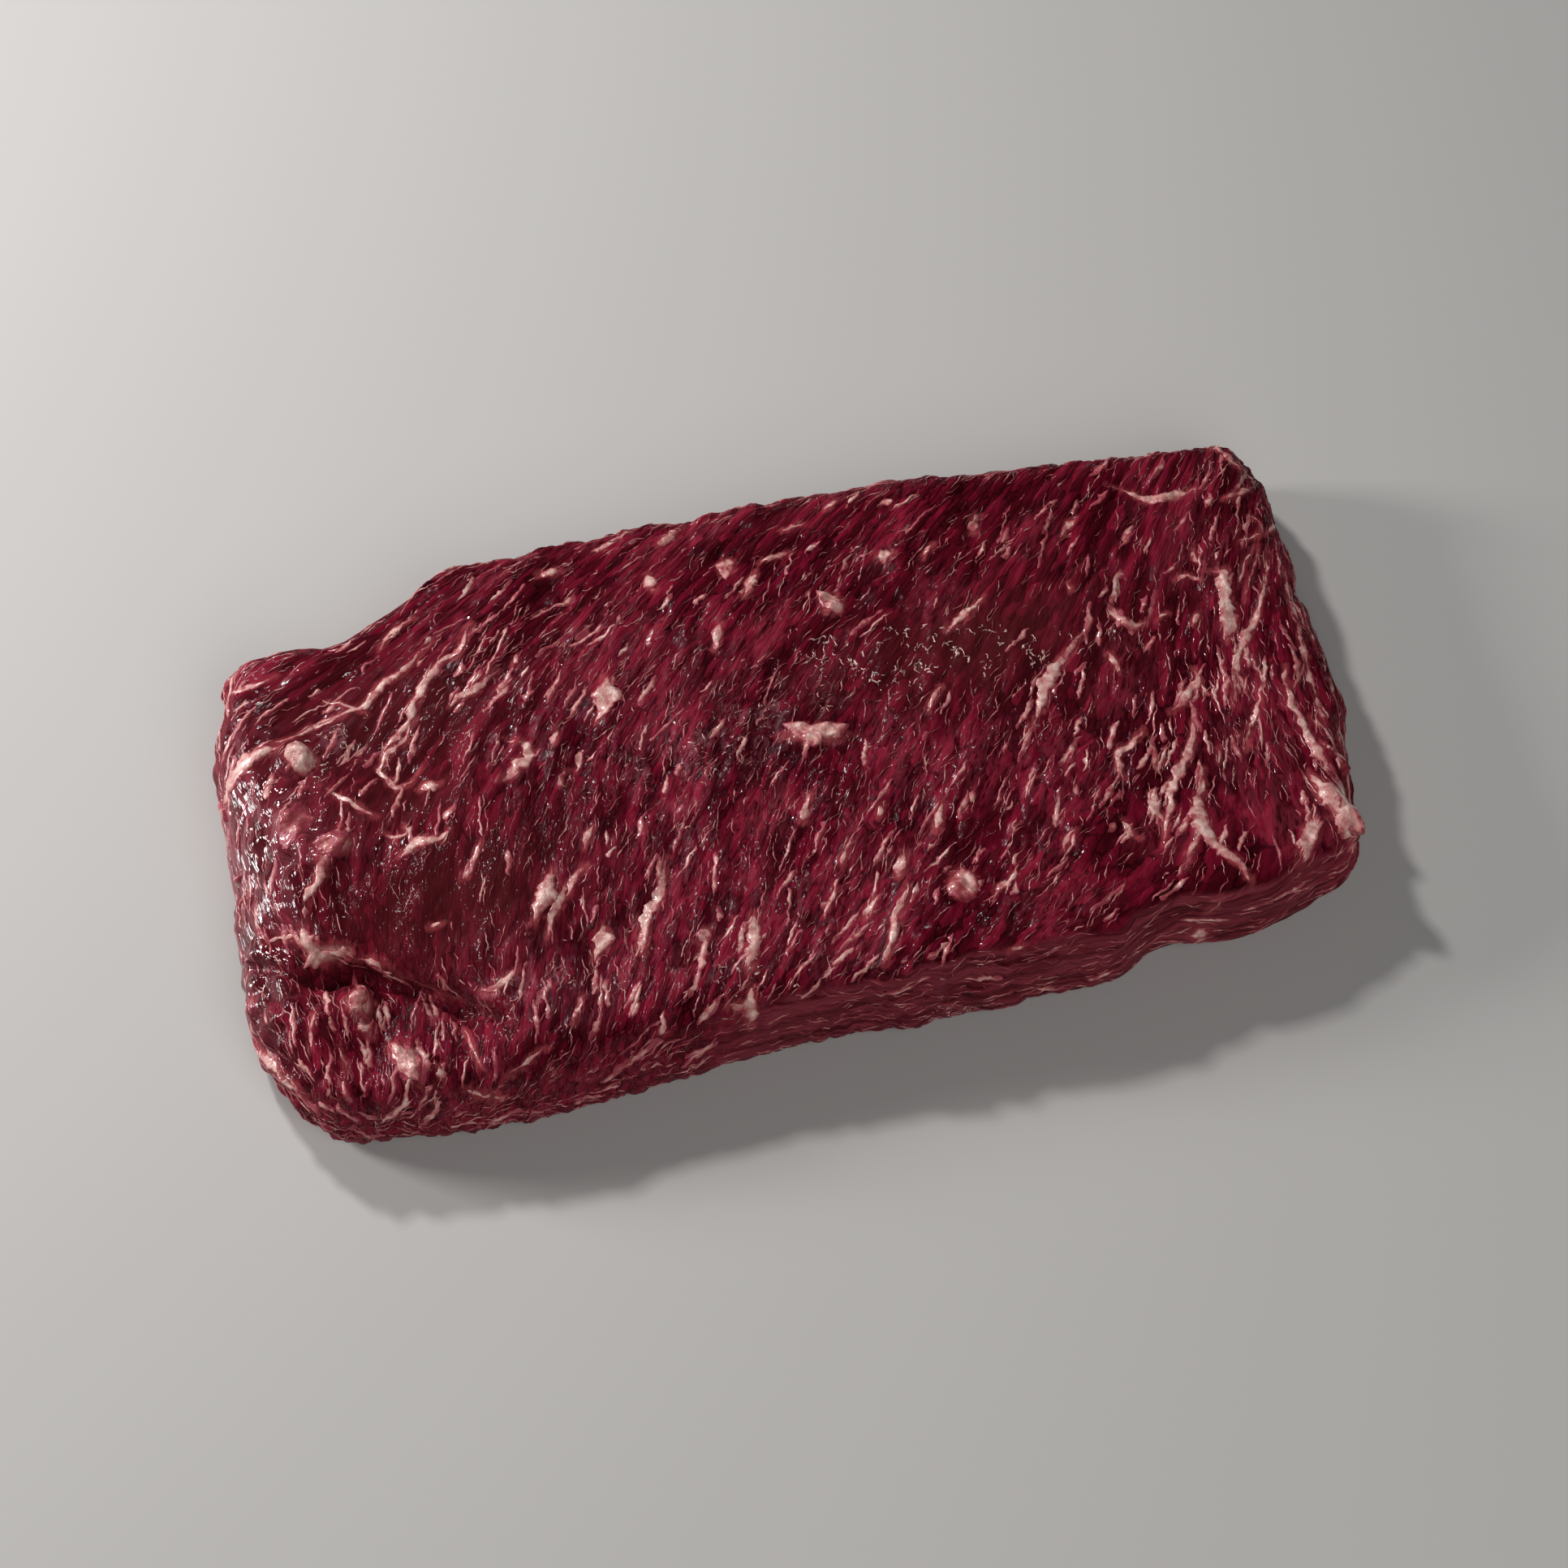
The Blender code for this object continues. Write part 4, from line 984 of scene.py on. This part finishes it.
def grains(millimetres):
    """A noise of that size in the object's own coordinates."""
    inputs = {0: place, "Scale": 1 / (millimetres * MM)}
    scaled = put(tree, "ShaderNodeVectorMath", inputs, operation="SCALE").outputs[0]
    inputs = {"Vector": scaled, "Scale": 1.0, "Detail": 3.0, "Distortion": 0.3}
    return put(tree, "ShaderNodeTexNoise", inputs).outputs[0]


lumpy, fine = grains(2.2), grains(0.5)
cover = total(tree, (thin, -1.1), (lumpy, 2.3), (tint, 0.75), (-0.66, 1.0))
colour = painted(tree, LEAN_PINK, FAT_PINK, 1, (cover, -0.35, 0.25))
colour = painted(tree, colour, FAT, 1, (cover, 0.10, 0.65))
colour = painted(tree, colour, FAT_CREAM, 1, (cover, 0.60, 1.15))
height = total(tree, (lumpy, 0.7), (fine, 0.22))
bump = put(tree, "ShaderNodeBump", {"Height": height, "Distance": 0.0007, "Strength": 1.0}).outputs[0]
shader = put(
    tree,
    "ShaderNodeBsdfPrincipled",
    {
        "Base Color": colour,
        "Roughness": 0.38,
        "Normal": bump,
        "IOR": 1.45,
        "Coat Weight": 0.6,
        "Coat Roughness": 0.10,
        "Coat IOR": 1.38,
    },
)
put(tree, "ShaderNodeOutputMaterial", {"Surface": shader.outputs[0]})
print("materials:", [made.name for made in bpy.data.materials])

# %% [markdown]
# ## Fat as strips and patches
# Fat could be painted on, but real fat has an edge that catches light. So each streak is a thin strip
# of mesh laid over the skin, and each lump a ragged disc. Both are pressed onto the nearest place of
# the skin. Their rims sink a little below it, which joins them to the meat with no gap.

# %% Lay a grid of points onto the skin
surface = BVHTree.FromPolygons(
    [tuple(p) for p in points], [tuple(polygon.vertices) for polygon in wrapped.polygons]
)
SINK = 0.35


def laid(place, rise):
    """The place on the skin nearest to a place, raised along the skin's own direction."""
    spot, way, face, _ = surface.find_nearest(Vector(place))
    outward = Vector(calm_outward[wrapped.polygons[face].vertices[0]])
    return spot + outward * rise


def wave(place, size, seed):
    """A soft random number from -1 to 1 that changes over that many millimetres."""
    return noise.noise(Vector(place) / size + Vector((seed * 7.3, seed * 3.1, seed * 1.7)))


def grid_faces(rows, columns, first, closed=False):
    """The faces of a grid of points that are counted row by row."""
    wide = columns if closed else columns - 1
    for r in range(rows - 1):
        here, above = first + r * columns, first + (r + 1) * columns
        for c in range(wide):
            d = (c + 1) % columns
            yield (here + c, here + d, above + d, above + c)


class Patchwork:
    """Collects strips and patches, with how thin and how pale each of their points is."""

    def __init__(self):
        self.points, self.faces, self.thin, self.tint = [], [], [], []

    def add(self, rows, thin, tint, closed=False):
        first = len(self.points)
        columns = len(rows[0])
        for row in rows:
            self.points.extend(row)
        self.thin.extend(thin)
        self.tint.extend([tint] * len(thin))
        self.faces.extend(grid_faces(len(rows), columns, first, closed))


print("places to lay fat on:", len(points))

# %% [markdown]
# ### One streak
# A streak has a wavering line, a width that swells and narrows, ragged sides, a rounded back and
# pointed ends. It is a strip seven points wide, with a row of points about every half millimetre.
# The strip is half as wide again as the streak looks, because its rims sink into the meat. A flat
# ribbon would do from afar, but it has no back to catch the light.

# %% A strip along its knots
STATION = 0.55
STREAK_RISE, STREAK_SPREAD = 0.30, 1.55
STREAK_PALE, PALE_FOR_WIDTH = -0.06, 0.19
COLUMNS = (-1.0, -0.82, -0.45, 0.0, 0.45, 0.82, 1.0)


def strip(work, knots, seed):
    """One streak: a strip along its knots, with a wavering width, a rounded back and pointed ends."""
    knots = np.array(knots, float)
    lengths = np.concatenate([[0.0], np.cumsum(np.linalg.norm(np.diff(knots[:, :3], axis=0), axis=1))])
    stations = np.linspace(0.0, lengths[-1], max(int(lengths[-1] / STATION), 5))
    line = np.array([np.interp(stations, lengths, column) for column in knots.T]).T
    for _ in range(int(2.0 / STATION)):
        line[1:-1] = (line[:-2] + line[1:-1] * 2 + line[2:]) / 4
    ways = np.gradient(line[:, :3], axis=0)
    rows, thin = [], []
    for k, (spot, way) in enumerate(zip(line, ways)):
        middle, width = Vector(spot[:3]), spot[3] * STREAK_SPREAD
        across = Vector((-way[1], way[0], 0.0)).normalized()
        share = k / (len(line) - 1)
        taper = min(1.0, 3.2 * min(share, 1 - share)) ** 0.5
        middle = middle + across * 0.7 * wave(middle, 3.0, seed)
        half = width / 2 * taper * (1.0 + 0.8 * wave(middle, 2.8, seed + 1))
        row = []
        for column in COLUMNS:
            ragged = 1.0 + 0.48 * wave(middle + across * column * 2, 1.1, seed + 2 + (column > 0))
            back = 1 - abs(column) ** 4
            lump = 0.8 + 0.36 * wave(middle + across * column, 1.6, seed + 4)
            height = STREAK_RISE * back * lump * min(1.8, width / 2) * taper - 0.04
            height = -SINK if abs(column) == 1 else height
            row.append(laid(middle + across * half * column * ragged, height))
            thin.append(min(1.0, abs(column) ** 3.2 + 0.7 * (1 - taper)))
        rows.append(row)
    work.add(rows, thin, min(STREAK_PALE + PALE_FOR_WIDTH * float(knots[:, 3].max()), 0.5))


# %% [markdown]
# ### One lump
# A lump is a disc of rings round a middle point. Thick lumps are domed, and thin ones are flat with a
# steep rim, as torn fat is.


# %% A disc with a drawn or a torn outline
def outline_reach(outline, rim):
    """How far a ray from the middle runs until it leaves the outline."""
    corners = [Vector(corner) for corner in outline]
    sides = zip(corners, corners[1:] + corners[:1])
    hits = [geometry.intersect_line_line_2d(Vector((0, 0)), rim.xy * 30, start, end) for start, end in sides]
    return max(hit.length for hit in hits if hit)


def lump(work, name, x, y, z, half_length, half_width, turn, rise, pale, seed):
    """One lump: a disc of rings with a drawn or a torn outline and an uneven back."""
    spot, _, _, _ = surface.find_nearest(Vector((x, y, z)))
    noise.seed_set(int(seed) + 1)
    length_way, width_way = (Vector(way) for way in lump_frame(turn))
    outward = laid(spot, 1.0) - spot
    length_way = (length_way - outward * length_way.dot(outward)).normalized()
    width_way = outward.cross(length_way)
    spokes = int(math.tau * max(half_length, half_width) / 0.5)
    cuts = [(math.tau * (k + 0.8 * noise.random()) / 6, 0.62 + 0.42 * noise.random()) for k in range(6)]
    rings = max(int(max(half_length, half_width) / 0.5), 5)
    rows, thin = [], []
    for r in range(rings + 1):
        share = 1 - r / rings
        row = []
        for k in range(spokes):
            angle = math.tau * k / spokes
            rim = Vector((math.cos(angle), math.sin(angle), 0.0))
            ragged = 1.0 + 0.22 * wave(rim * 3.4, 1.0, seed + 1) + 0.10 * wave(rim * 9.0, 1.0, seed + 3)
            if name in OUTLINES:
                reach = outline_reach(OUTLINES[name], rim) * (0.6 + 0.4 * ragged)
                gap = (length_way * rim.x + width_way * rim.y) * reach
            else:
                reach = min(min(away / max(math.cos(angle - way), 0.3) for way, away in cuts), 1.45) * ragged
                gap = (length_way * rim.x * half_length + width_way * rim.y * half_width) * reach
            place = spot + gap * share
            dome = 1 - share ** (8 / (0.6 + rise))
            height = 0.7 * rise * dome * (0.95 + 0.9 * wave(place, 2.6, seed + 2))
            row.append(laid(place, -SINK if r == 0 else height))
            thin.append(share**5)
        rows.append(row)
    work.add(rows, thin, pale, closed=True)


# %% [markdown]
# ### All the fat
# The streaks and lumps become one piece, because they are one kind of tissue with one finish.

# %% Lay all streaks and lumps
fat_work = Patchwork()
for seed, (_, knots) in enumerate(STREAKS):
    strip(fat_work, knots, seed * 9.0)
for seed, (name, numbers) in enumerate(LUMPS):
    lump(fat_work, name, *numbers, seed * 5.0 + 400.0)


def add_fat(name, work):
    """Makes a piece of a patchwork, in metres, with its maps and its material."""
    mesh = bpy.data.meshes.new(name)
    mesh.from_pydata([tuple(p * MM) for p in work.points], [], work.faces)
    keep(mesh, "thin", np.array(work.thin))
    keep(mesh, "tint", np.array(work.tint))
    # The points that meet in a streak's tips and in a lump's middle become one
    welded = bmesh.new()
    welded.from_mesh(mesh)
    bmesh.ops.remove_doubles(welded, verts=welded.verts, dist=0.001 * MM)
    welded.to_mesh(mesh)
    welded.free()
    mesh.materials.append(fat_skin)
    mesh.shade_smooth()
    made = add_object(name, mesh)
    flat = positions(mesh)
    inside = np.clip(flat, low, high)
    set_positions(mesh, inside)
    print(name + ":", sum(len(polygon.vertices) - 2 for polygon in mesh.polygons), "triangles")
    return made


fat = add_fat("fat", fat_work)

# %% [markdown]
# ## Threads and flecks with Geometry Nodes
# Thousands of short threads of connective tissue and small flecks of fat lie along the fibres. Geometry
# Nodes suit this: points are scattered on the skin, more where a map says so, a short strip is put on
# each point and turned along the fibres, and then all strips are bent by a noise and laid on the skin.
# The same tree, with other sizes, makes the threads, the flecks, the torn rests of a milky membrane,
# and the curled web of loose tissue. Placing them by hand would take days, and nobody counts them.

# %% A tree that lays short strips over the skin
STRIP_INPUTS = {
    "Density": 40000.0, "Length": 0.005, "Width": 0.0004, "Rise": 0.0003, "Bend": 0.001, "Bend Size": 0.003,
    "Turn": 0.2, "Tint": 0.5,
}


def strip_tree(name, density_map, stations, columns):
    """The Geometry Nodes tree, with named inputs for its sizes."""
    tree = bpy.data.node_groups.new(name, "GeometryNodeTree")
    tree.interface.new_socket("Geometry", in_out="INPUT", socket_type="NodeSocketGeometry")
    for label in STRIP_INPUTS:
        tree.interface.new_socket(label, in_out="INPUT", socket_type="NodeSocketFloat")
    tree.interface.new_socket("Seed", in_out="INPUT", socket_type="NodeSocketInt")
    tree.interface.new_socket("Material", in_out="INPUT", socket_type="NodeSocketMaterial")
    tree.interface.new_socket("Geometry", in_out="OUTPUT", socket_type="NodeSocketGeometry")
    given = tree.nodes.new("NodeGroupInput").outputs

    outward, grain, own_place = (
        put(tree, "GeometryNodeInputNamedAttribute", {"Name": label}, data_type="FLOAT_VECTOR").outputs[0]
        for label in ("outward", "grain", "own")
    )

    # Random numbers for each strip: how pale it is, how far turned, how long and how wide
    chances = []
    for least, most, extra in ((-0.35, 0.35, 3), (-1.0, 1.0, 5), (0.35, 1.5, 7), (0.5, 1.5, 9)):
        seed = put(tree, "ShaderNodeMath", {0: given["Seed"], 1: extra}, operation="ADD").outputs[0]
        inputs = {2: least, 3: most, "Seed": seed}
        chances.append(put(tree, "FunctionNodeRandomValue", inputs, data_type="FLOAT").outputs[1])
    pale_chance, turn_chance, length_chance, width_chance = chances

    # One flat strip, one unit long and wide, narrowing to its ends; its own place is kept
    strip_grid = put(
        tree, "GeometryNodeMeshGrid",
        {"Size X": 1.0, "Size Y": 1.0, "Vertices X": stations, "Vertices Y": columns},
    ).outputs["Mesh"]
    here = put(tree, "GeometryNodeInputPosition").outputs[0]
    x, y, _ = put(tree, "ShaderNodeSeparateXYZ", {0: here}).outputs
    x_twice = total(tree, (x, 2.0))
    lens = total(tree, (1.0, 1.0), (total(tree, (x_twice, x_twice)), -1.0))
    lens = put(tree, "ShaderNodeMath", {0: lens, 1: 0.0}, operation="MAXIMUM").outputs[0]
    lens = put(tree, "ShaderNodeMath", {0: lens}, operation="SQRT").outputs[0]
    own = put(tree, "ShaderNodeCombineXYZ", {"X": total(tree, (y, 2.0)), "Y": lens}).outputs[0]
    shape = put(tree, "ShaderNodeCombineXYZ", {"X": x, "Y": total(tree, (y, lens))}).outputs[0]
    inputs = {"Geometry": strip_grid, "Name": "own", "Value": own}
    strip_grid = put(
        tree, "GeometryNodeStoreNamedAttribute", inputs, data_type="FLOAT_VECTOR", domain="POINT"
    ).outputs[0]
    strip_grid = put(tree, "GeometryNodeSetPosition", {"Geometry": strip_grid, "Position": shape}).outputs[0]
    inputs = {"Geometry": strip_grid, "Distance": 0.0001}
    strip_grid = put(tree, "GeometryNodeMergeByDistance", inputs).outputs[0]

    # Points on the skin, more where the map is high; each strip turned along the fibres
    inputs = {"Name": density_map}
    density = put(tree, "GeometryNodeInputNamedAttribute", inputs, data_type="FLOAT").outputs[0]
    density = total(tree, (given["Density"], density))
    scatter = put(
        tree, "GeometryNodeDistributePointsOnFaces",
        {"Mesh": given["Geometry"], "Density": density, "Seed": given["Seed"]}, distribute_method="RANDOM",
    )
    tint = total(tree, (given["Tint"], 1.0), (pale_chance, 1.0))
    inputs = {"Geometry": scatter.outputs["Points"], "Name": "tint", "Value": tint}
    dots = put(
        tree, "GeometryNodeStoreNamedAttribute", inputs, data_type="FLOAT", domain="POINT"
    ).outputs[0]
    sideways = put(tree, "ShaderNodeVectorMath", {0: outward, 1: grain}, operation="CROSS_PRODUCT").outputs[0]
    turned = moved(tree, grain, sideways, total(tree, (given["Turn"], turn_chance)))
    facing = put(
        tree, "FunctionNodeAxesToRotation", {"Primary Axis": outward, "Secondary Axis": turned},
        primary_axis="Z", secondary_axis="X",
    ).outputs[0]
    size = put(
        tree, "ShaderNodeCombineXYZ",
        {
            "X": total(tree, (given["Length"], length_chance)),
            "Y": total(tree, (given["Width"], width_chance)),
            "Z": 1.0,
        },
    ).outputs[0]
    strips = put(
        tree, "GeometryNodeInstanceOnPoints",
        {"Points": dots, "Instance": strip_grid, "Rotation": facing, "Scale": size},
    ).outputs[0]
    strips = put(tree, "GeometryNodeRealizeInstances", {"Geometry": strips}).outputs[0]

    # Bent by a noise, laid on the nearest skin, and raised along the middle
    bend_scale = {0: 1.0, 1: given["Bend Size"]}
    bend_scale = put(tree, "ShaderNodeMath", bend_scale, operation="DIVIDE").outputs[0]
    bent = warped(tree, here, here, total(tree, (given["Bend"], 2.0)), bend_scale, 4.0)
    below, below_way = (
        put(
            tree, "GeometryNodeSampleNearestSurface",
            {"Mesh": given["Geometry"], "Sample Position": bent, "Value": value}, data_type="FLOAT_VECTOR",
        ).outputs["Value"]
        for value in (here, outward)
    )
    own_across, own_lens, _ = put(tree, "ShaderNodeSeparateXYZ", {0: own_place}).outputs
    edge = total(tree, (own_across, own_across))
    narrowed = total(tree, (1.0, 1.0), (own_lens, -1.0))
    thin = total(tree, (edge, 1.0), (narrowed, 1.0))
    thin = put(tree, "ShaderNodeMath", {0: thin, 1: 1.0}, operation="MINIMUM").outputs[0]
    level = total(tree, (1.0, 1.0), (edge, -1.0))
    back = total(tree, (level, own_lens), (1.0, -0.25))
    raised = moved(tree, below, below_way, total(tree, (back, given["Rise"])))
    strips = put(tree, "GeometryNodeSetPosition", {"Geometry": strips, "Position": raised}).outputs[0]
    inputs = {"Geometry": strips, "Name": "thin", "Value": thin}
    strips = put(
        tree, "GeometryNodeStoreNamedAttribute", inputs, data_type="FLOAT", domain="POINT"
    ).outputs[0]
    strips = put(tree, "GeometryNodeSetShadeSmooth", {"Geometry": strips}).outputs[0]
    strips = put(tree, "GeometryNodeRealizeInstances", {"Geometry": strips}).outputs[0]
    inputs = {"Geometry": strips, "Material": given["Material"]}
    strips = put(tree, "GeometryNodeSetMaterial", inputs).outputs[0]
    put(tree, "NodeGroupOutput", {"Geometry": strips})
    return tree


print("inputs of the tree:", list(STRIP_INPUTS))

# %% [markdown]
# ### Running the tree
# The tree is put on a copy of the skin as a modifier, its inputs are set, and the result is kept as a
# plain mesh. The four kinds differ in size: threads are about a quarter of a millimetre wide and 5 mm
# long, flecks a good millimetre wide and 9 mm long, and the rests of membrane and the web are short,
# thin and turned every way.


# %% Threads, flecks, membrane and web
def lay_strips(name, density_map, stations, columns, seed, **sizes):
    """Runs the tree on the skin and keeps the result as a plain piece."""
    tree = strip_tree(name, density_map, stations, columns)
    carrier = add_object(name, wrapped)
    step_maker = carrier.modifiers.new(name, "NODES")
    step_maker.node_group = tree
    values = dict(STRIP_INPUTS, **{label.replace("_", " "): value for label, value in sizes.items()})
    values.update({"Seed": seed, "Material": fat_skin})
    for socket in tree.interface.items_tree:
        if socket.in_out == "INPUT" and socket.name in values:
            step_maker[socket.identifier] = values[socket.name]
    mesh = plain_mesh(carrier)
    carrier.modifiers.clear()
    carrier.data = mesh
    set_positions(mesh, np.clip(positions(mesh), low, high))
    print(name + ":", sum(len(polygon.vertices) - 2 for polygon in mesh.polygons), "triangles")
    return carrier


threads = lay_strips(
    "threads", "thready", 9, 3, 11,
    Density=76000.0, Length=0.0054, Width=0.00026, Rise=0.00028,
    Bend=0.0016, Bend_Size=0.0030, Turn=0.40, Tint=0.20,
)
flecks = lay_strips(
    "flecks", "flecked", 12, 5, 23,
    Density=20000.0, Length=0.0092, Width=0.0013, Rise=0.00034,
    Bend=0.0015, Bend_Size=0.0026, Turn=0.32, Tint=0.10,
)
membrane = lay_strips(
    "membrane", "silver", 8, 3, 47,
    Density=420000.0, Length=0.0015, Width=0.00024, Rise=0.00030,
    Bend=0.0016, Bend_Size=0.0014, Turn=1.6, Tint=0.75,
)
# The web's strips are tinted near-white cream: partly the loose tissue's own pale colour, partly painted
# glints.
web_threads_with_painted_glints = lay_strips(
    "web", "web", 10, 3, 31,
    Density=420000.0, Length=0.0017, Width=0.00018, Rise=0.00040,
    Bend=0.0022, Bend_Size=0.0014, Turn=1.6, Tint=2.2,
)

# %% [markdown]
# ## What the pieces stand for
# The steak is one body. The lean is its meat, and the other five pieces are fat or connective tissue
# on it, so all six take the place of the one solid.

# %% Attach the pieces to their body
for piece in (lean, fat, threads, flecks, membrane, web_threads_with_painted_glints):
    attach(piece, "root")
    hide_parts("steak")

# %% [markdown]
# ## Floor, light and camera
# The steak lies on a plain pale floor. A low window stands at the left, as the bright wet slope at the
# thick end shows. A large board in front fills the shadows, and a small lamp behind gives the top its
# glints. Wet meat mirrors all that is round it, and a large board would turn its highlights grey. So
# the board lights the meat but isn't mirrored in it, which keeps the meat's colour deep.

# %% Floor
floor_mesh = bpy.data.meshes.new("floor")
work = bmesh.new()
bmesh.ops.create_grid(work, x_segments=1, y_segments=1, size=3.0)
work.to_mesh(floor_mesh)
work.free()
floor = add_object("floor", floor_mesh)
floor_paint, tree = material("matte_pale_board")
shader = put(tree, "ShaderNodeBsdfPrincipled", {"Base Color": linear("#c4c1be"), "Roughness": 0.75})
put(tree, "ShaderNodeOutputMaterial", {"Surface": shader.outputs[0]})
floor_mesh.materials.append(floor_paint)
print("floor of", floor_mesh.name, "painted", floor_paint.name)


# %% Lights
def soft_light(name, place, size, watts, mirrored=True):
    """A square area light that looks at the middle of the steak, and whether wet places mirror it."""
    light = bpy.data.lights.new(name, "AREA")
    light.size = size
    light.energy = watts
    made = add_object(name, light)
    made.location = place
    made.rotation_euler = (-Vector(place)).to_track_quat("-Z", "Y").to_euler()
    made.visible_glossy = mirrored
    return made


soft_light("window_left", (-0.84, 0.42, 0.34), 0.22, 7.0)
soft_light("board_in_front", (0.10, -0.95, 0.90), 0.9, 6.6, mirrored=False)
soft_light("lamp_behind", (-0.30, 0.70, 0.72), 0.10, 5.4)
world = bpy.data.worlds.new("room")
world.use_nodes = True
world.node_tree.nodes["Background"].inputs["Color"].default_value = linear("#c8ccd2")
world.node_tree.nodes["Background"].inputs["Strength"].default_value = 0.05
bpy.context.scene.world = world
bpy.context.scene.view_settings.view_transform = "Standard"
print("lights:", [light.name for light in bpy.data.lights])

# %% [markdown]
# ### The camera
# It looks down at 57 degrees, a little from the left, through a long lens, so that the far side looks
# hardly smaller than the near one.

# %% Camera
TURN, RAISE = math.radians(-17.0), math.radians(57.0)
back = Vector((math.sin(TURN) * math.cos(RAISE), -math.cos(TURN) * math.cos(RAISE), math.sin(RAISE)))
camera = bpy.data.cameras.new("camera")
camera.lens = 85.0
camera.sensor_width = 36.0
camera_stand = add_object("camera", camera)
camera_stand.location = Vector((-0.0025, -0.006, 0.0125)) + back * 0.884
camera_stand.rotation_euler = (-back).to_track_quat("-Z", "Y").to_euler()
bpy.context.scene.camera = camera_stand
print("camera at, m:", [round(v, 3) for v in camera_stand.location])
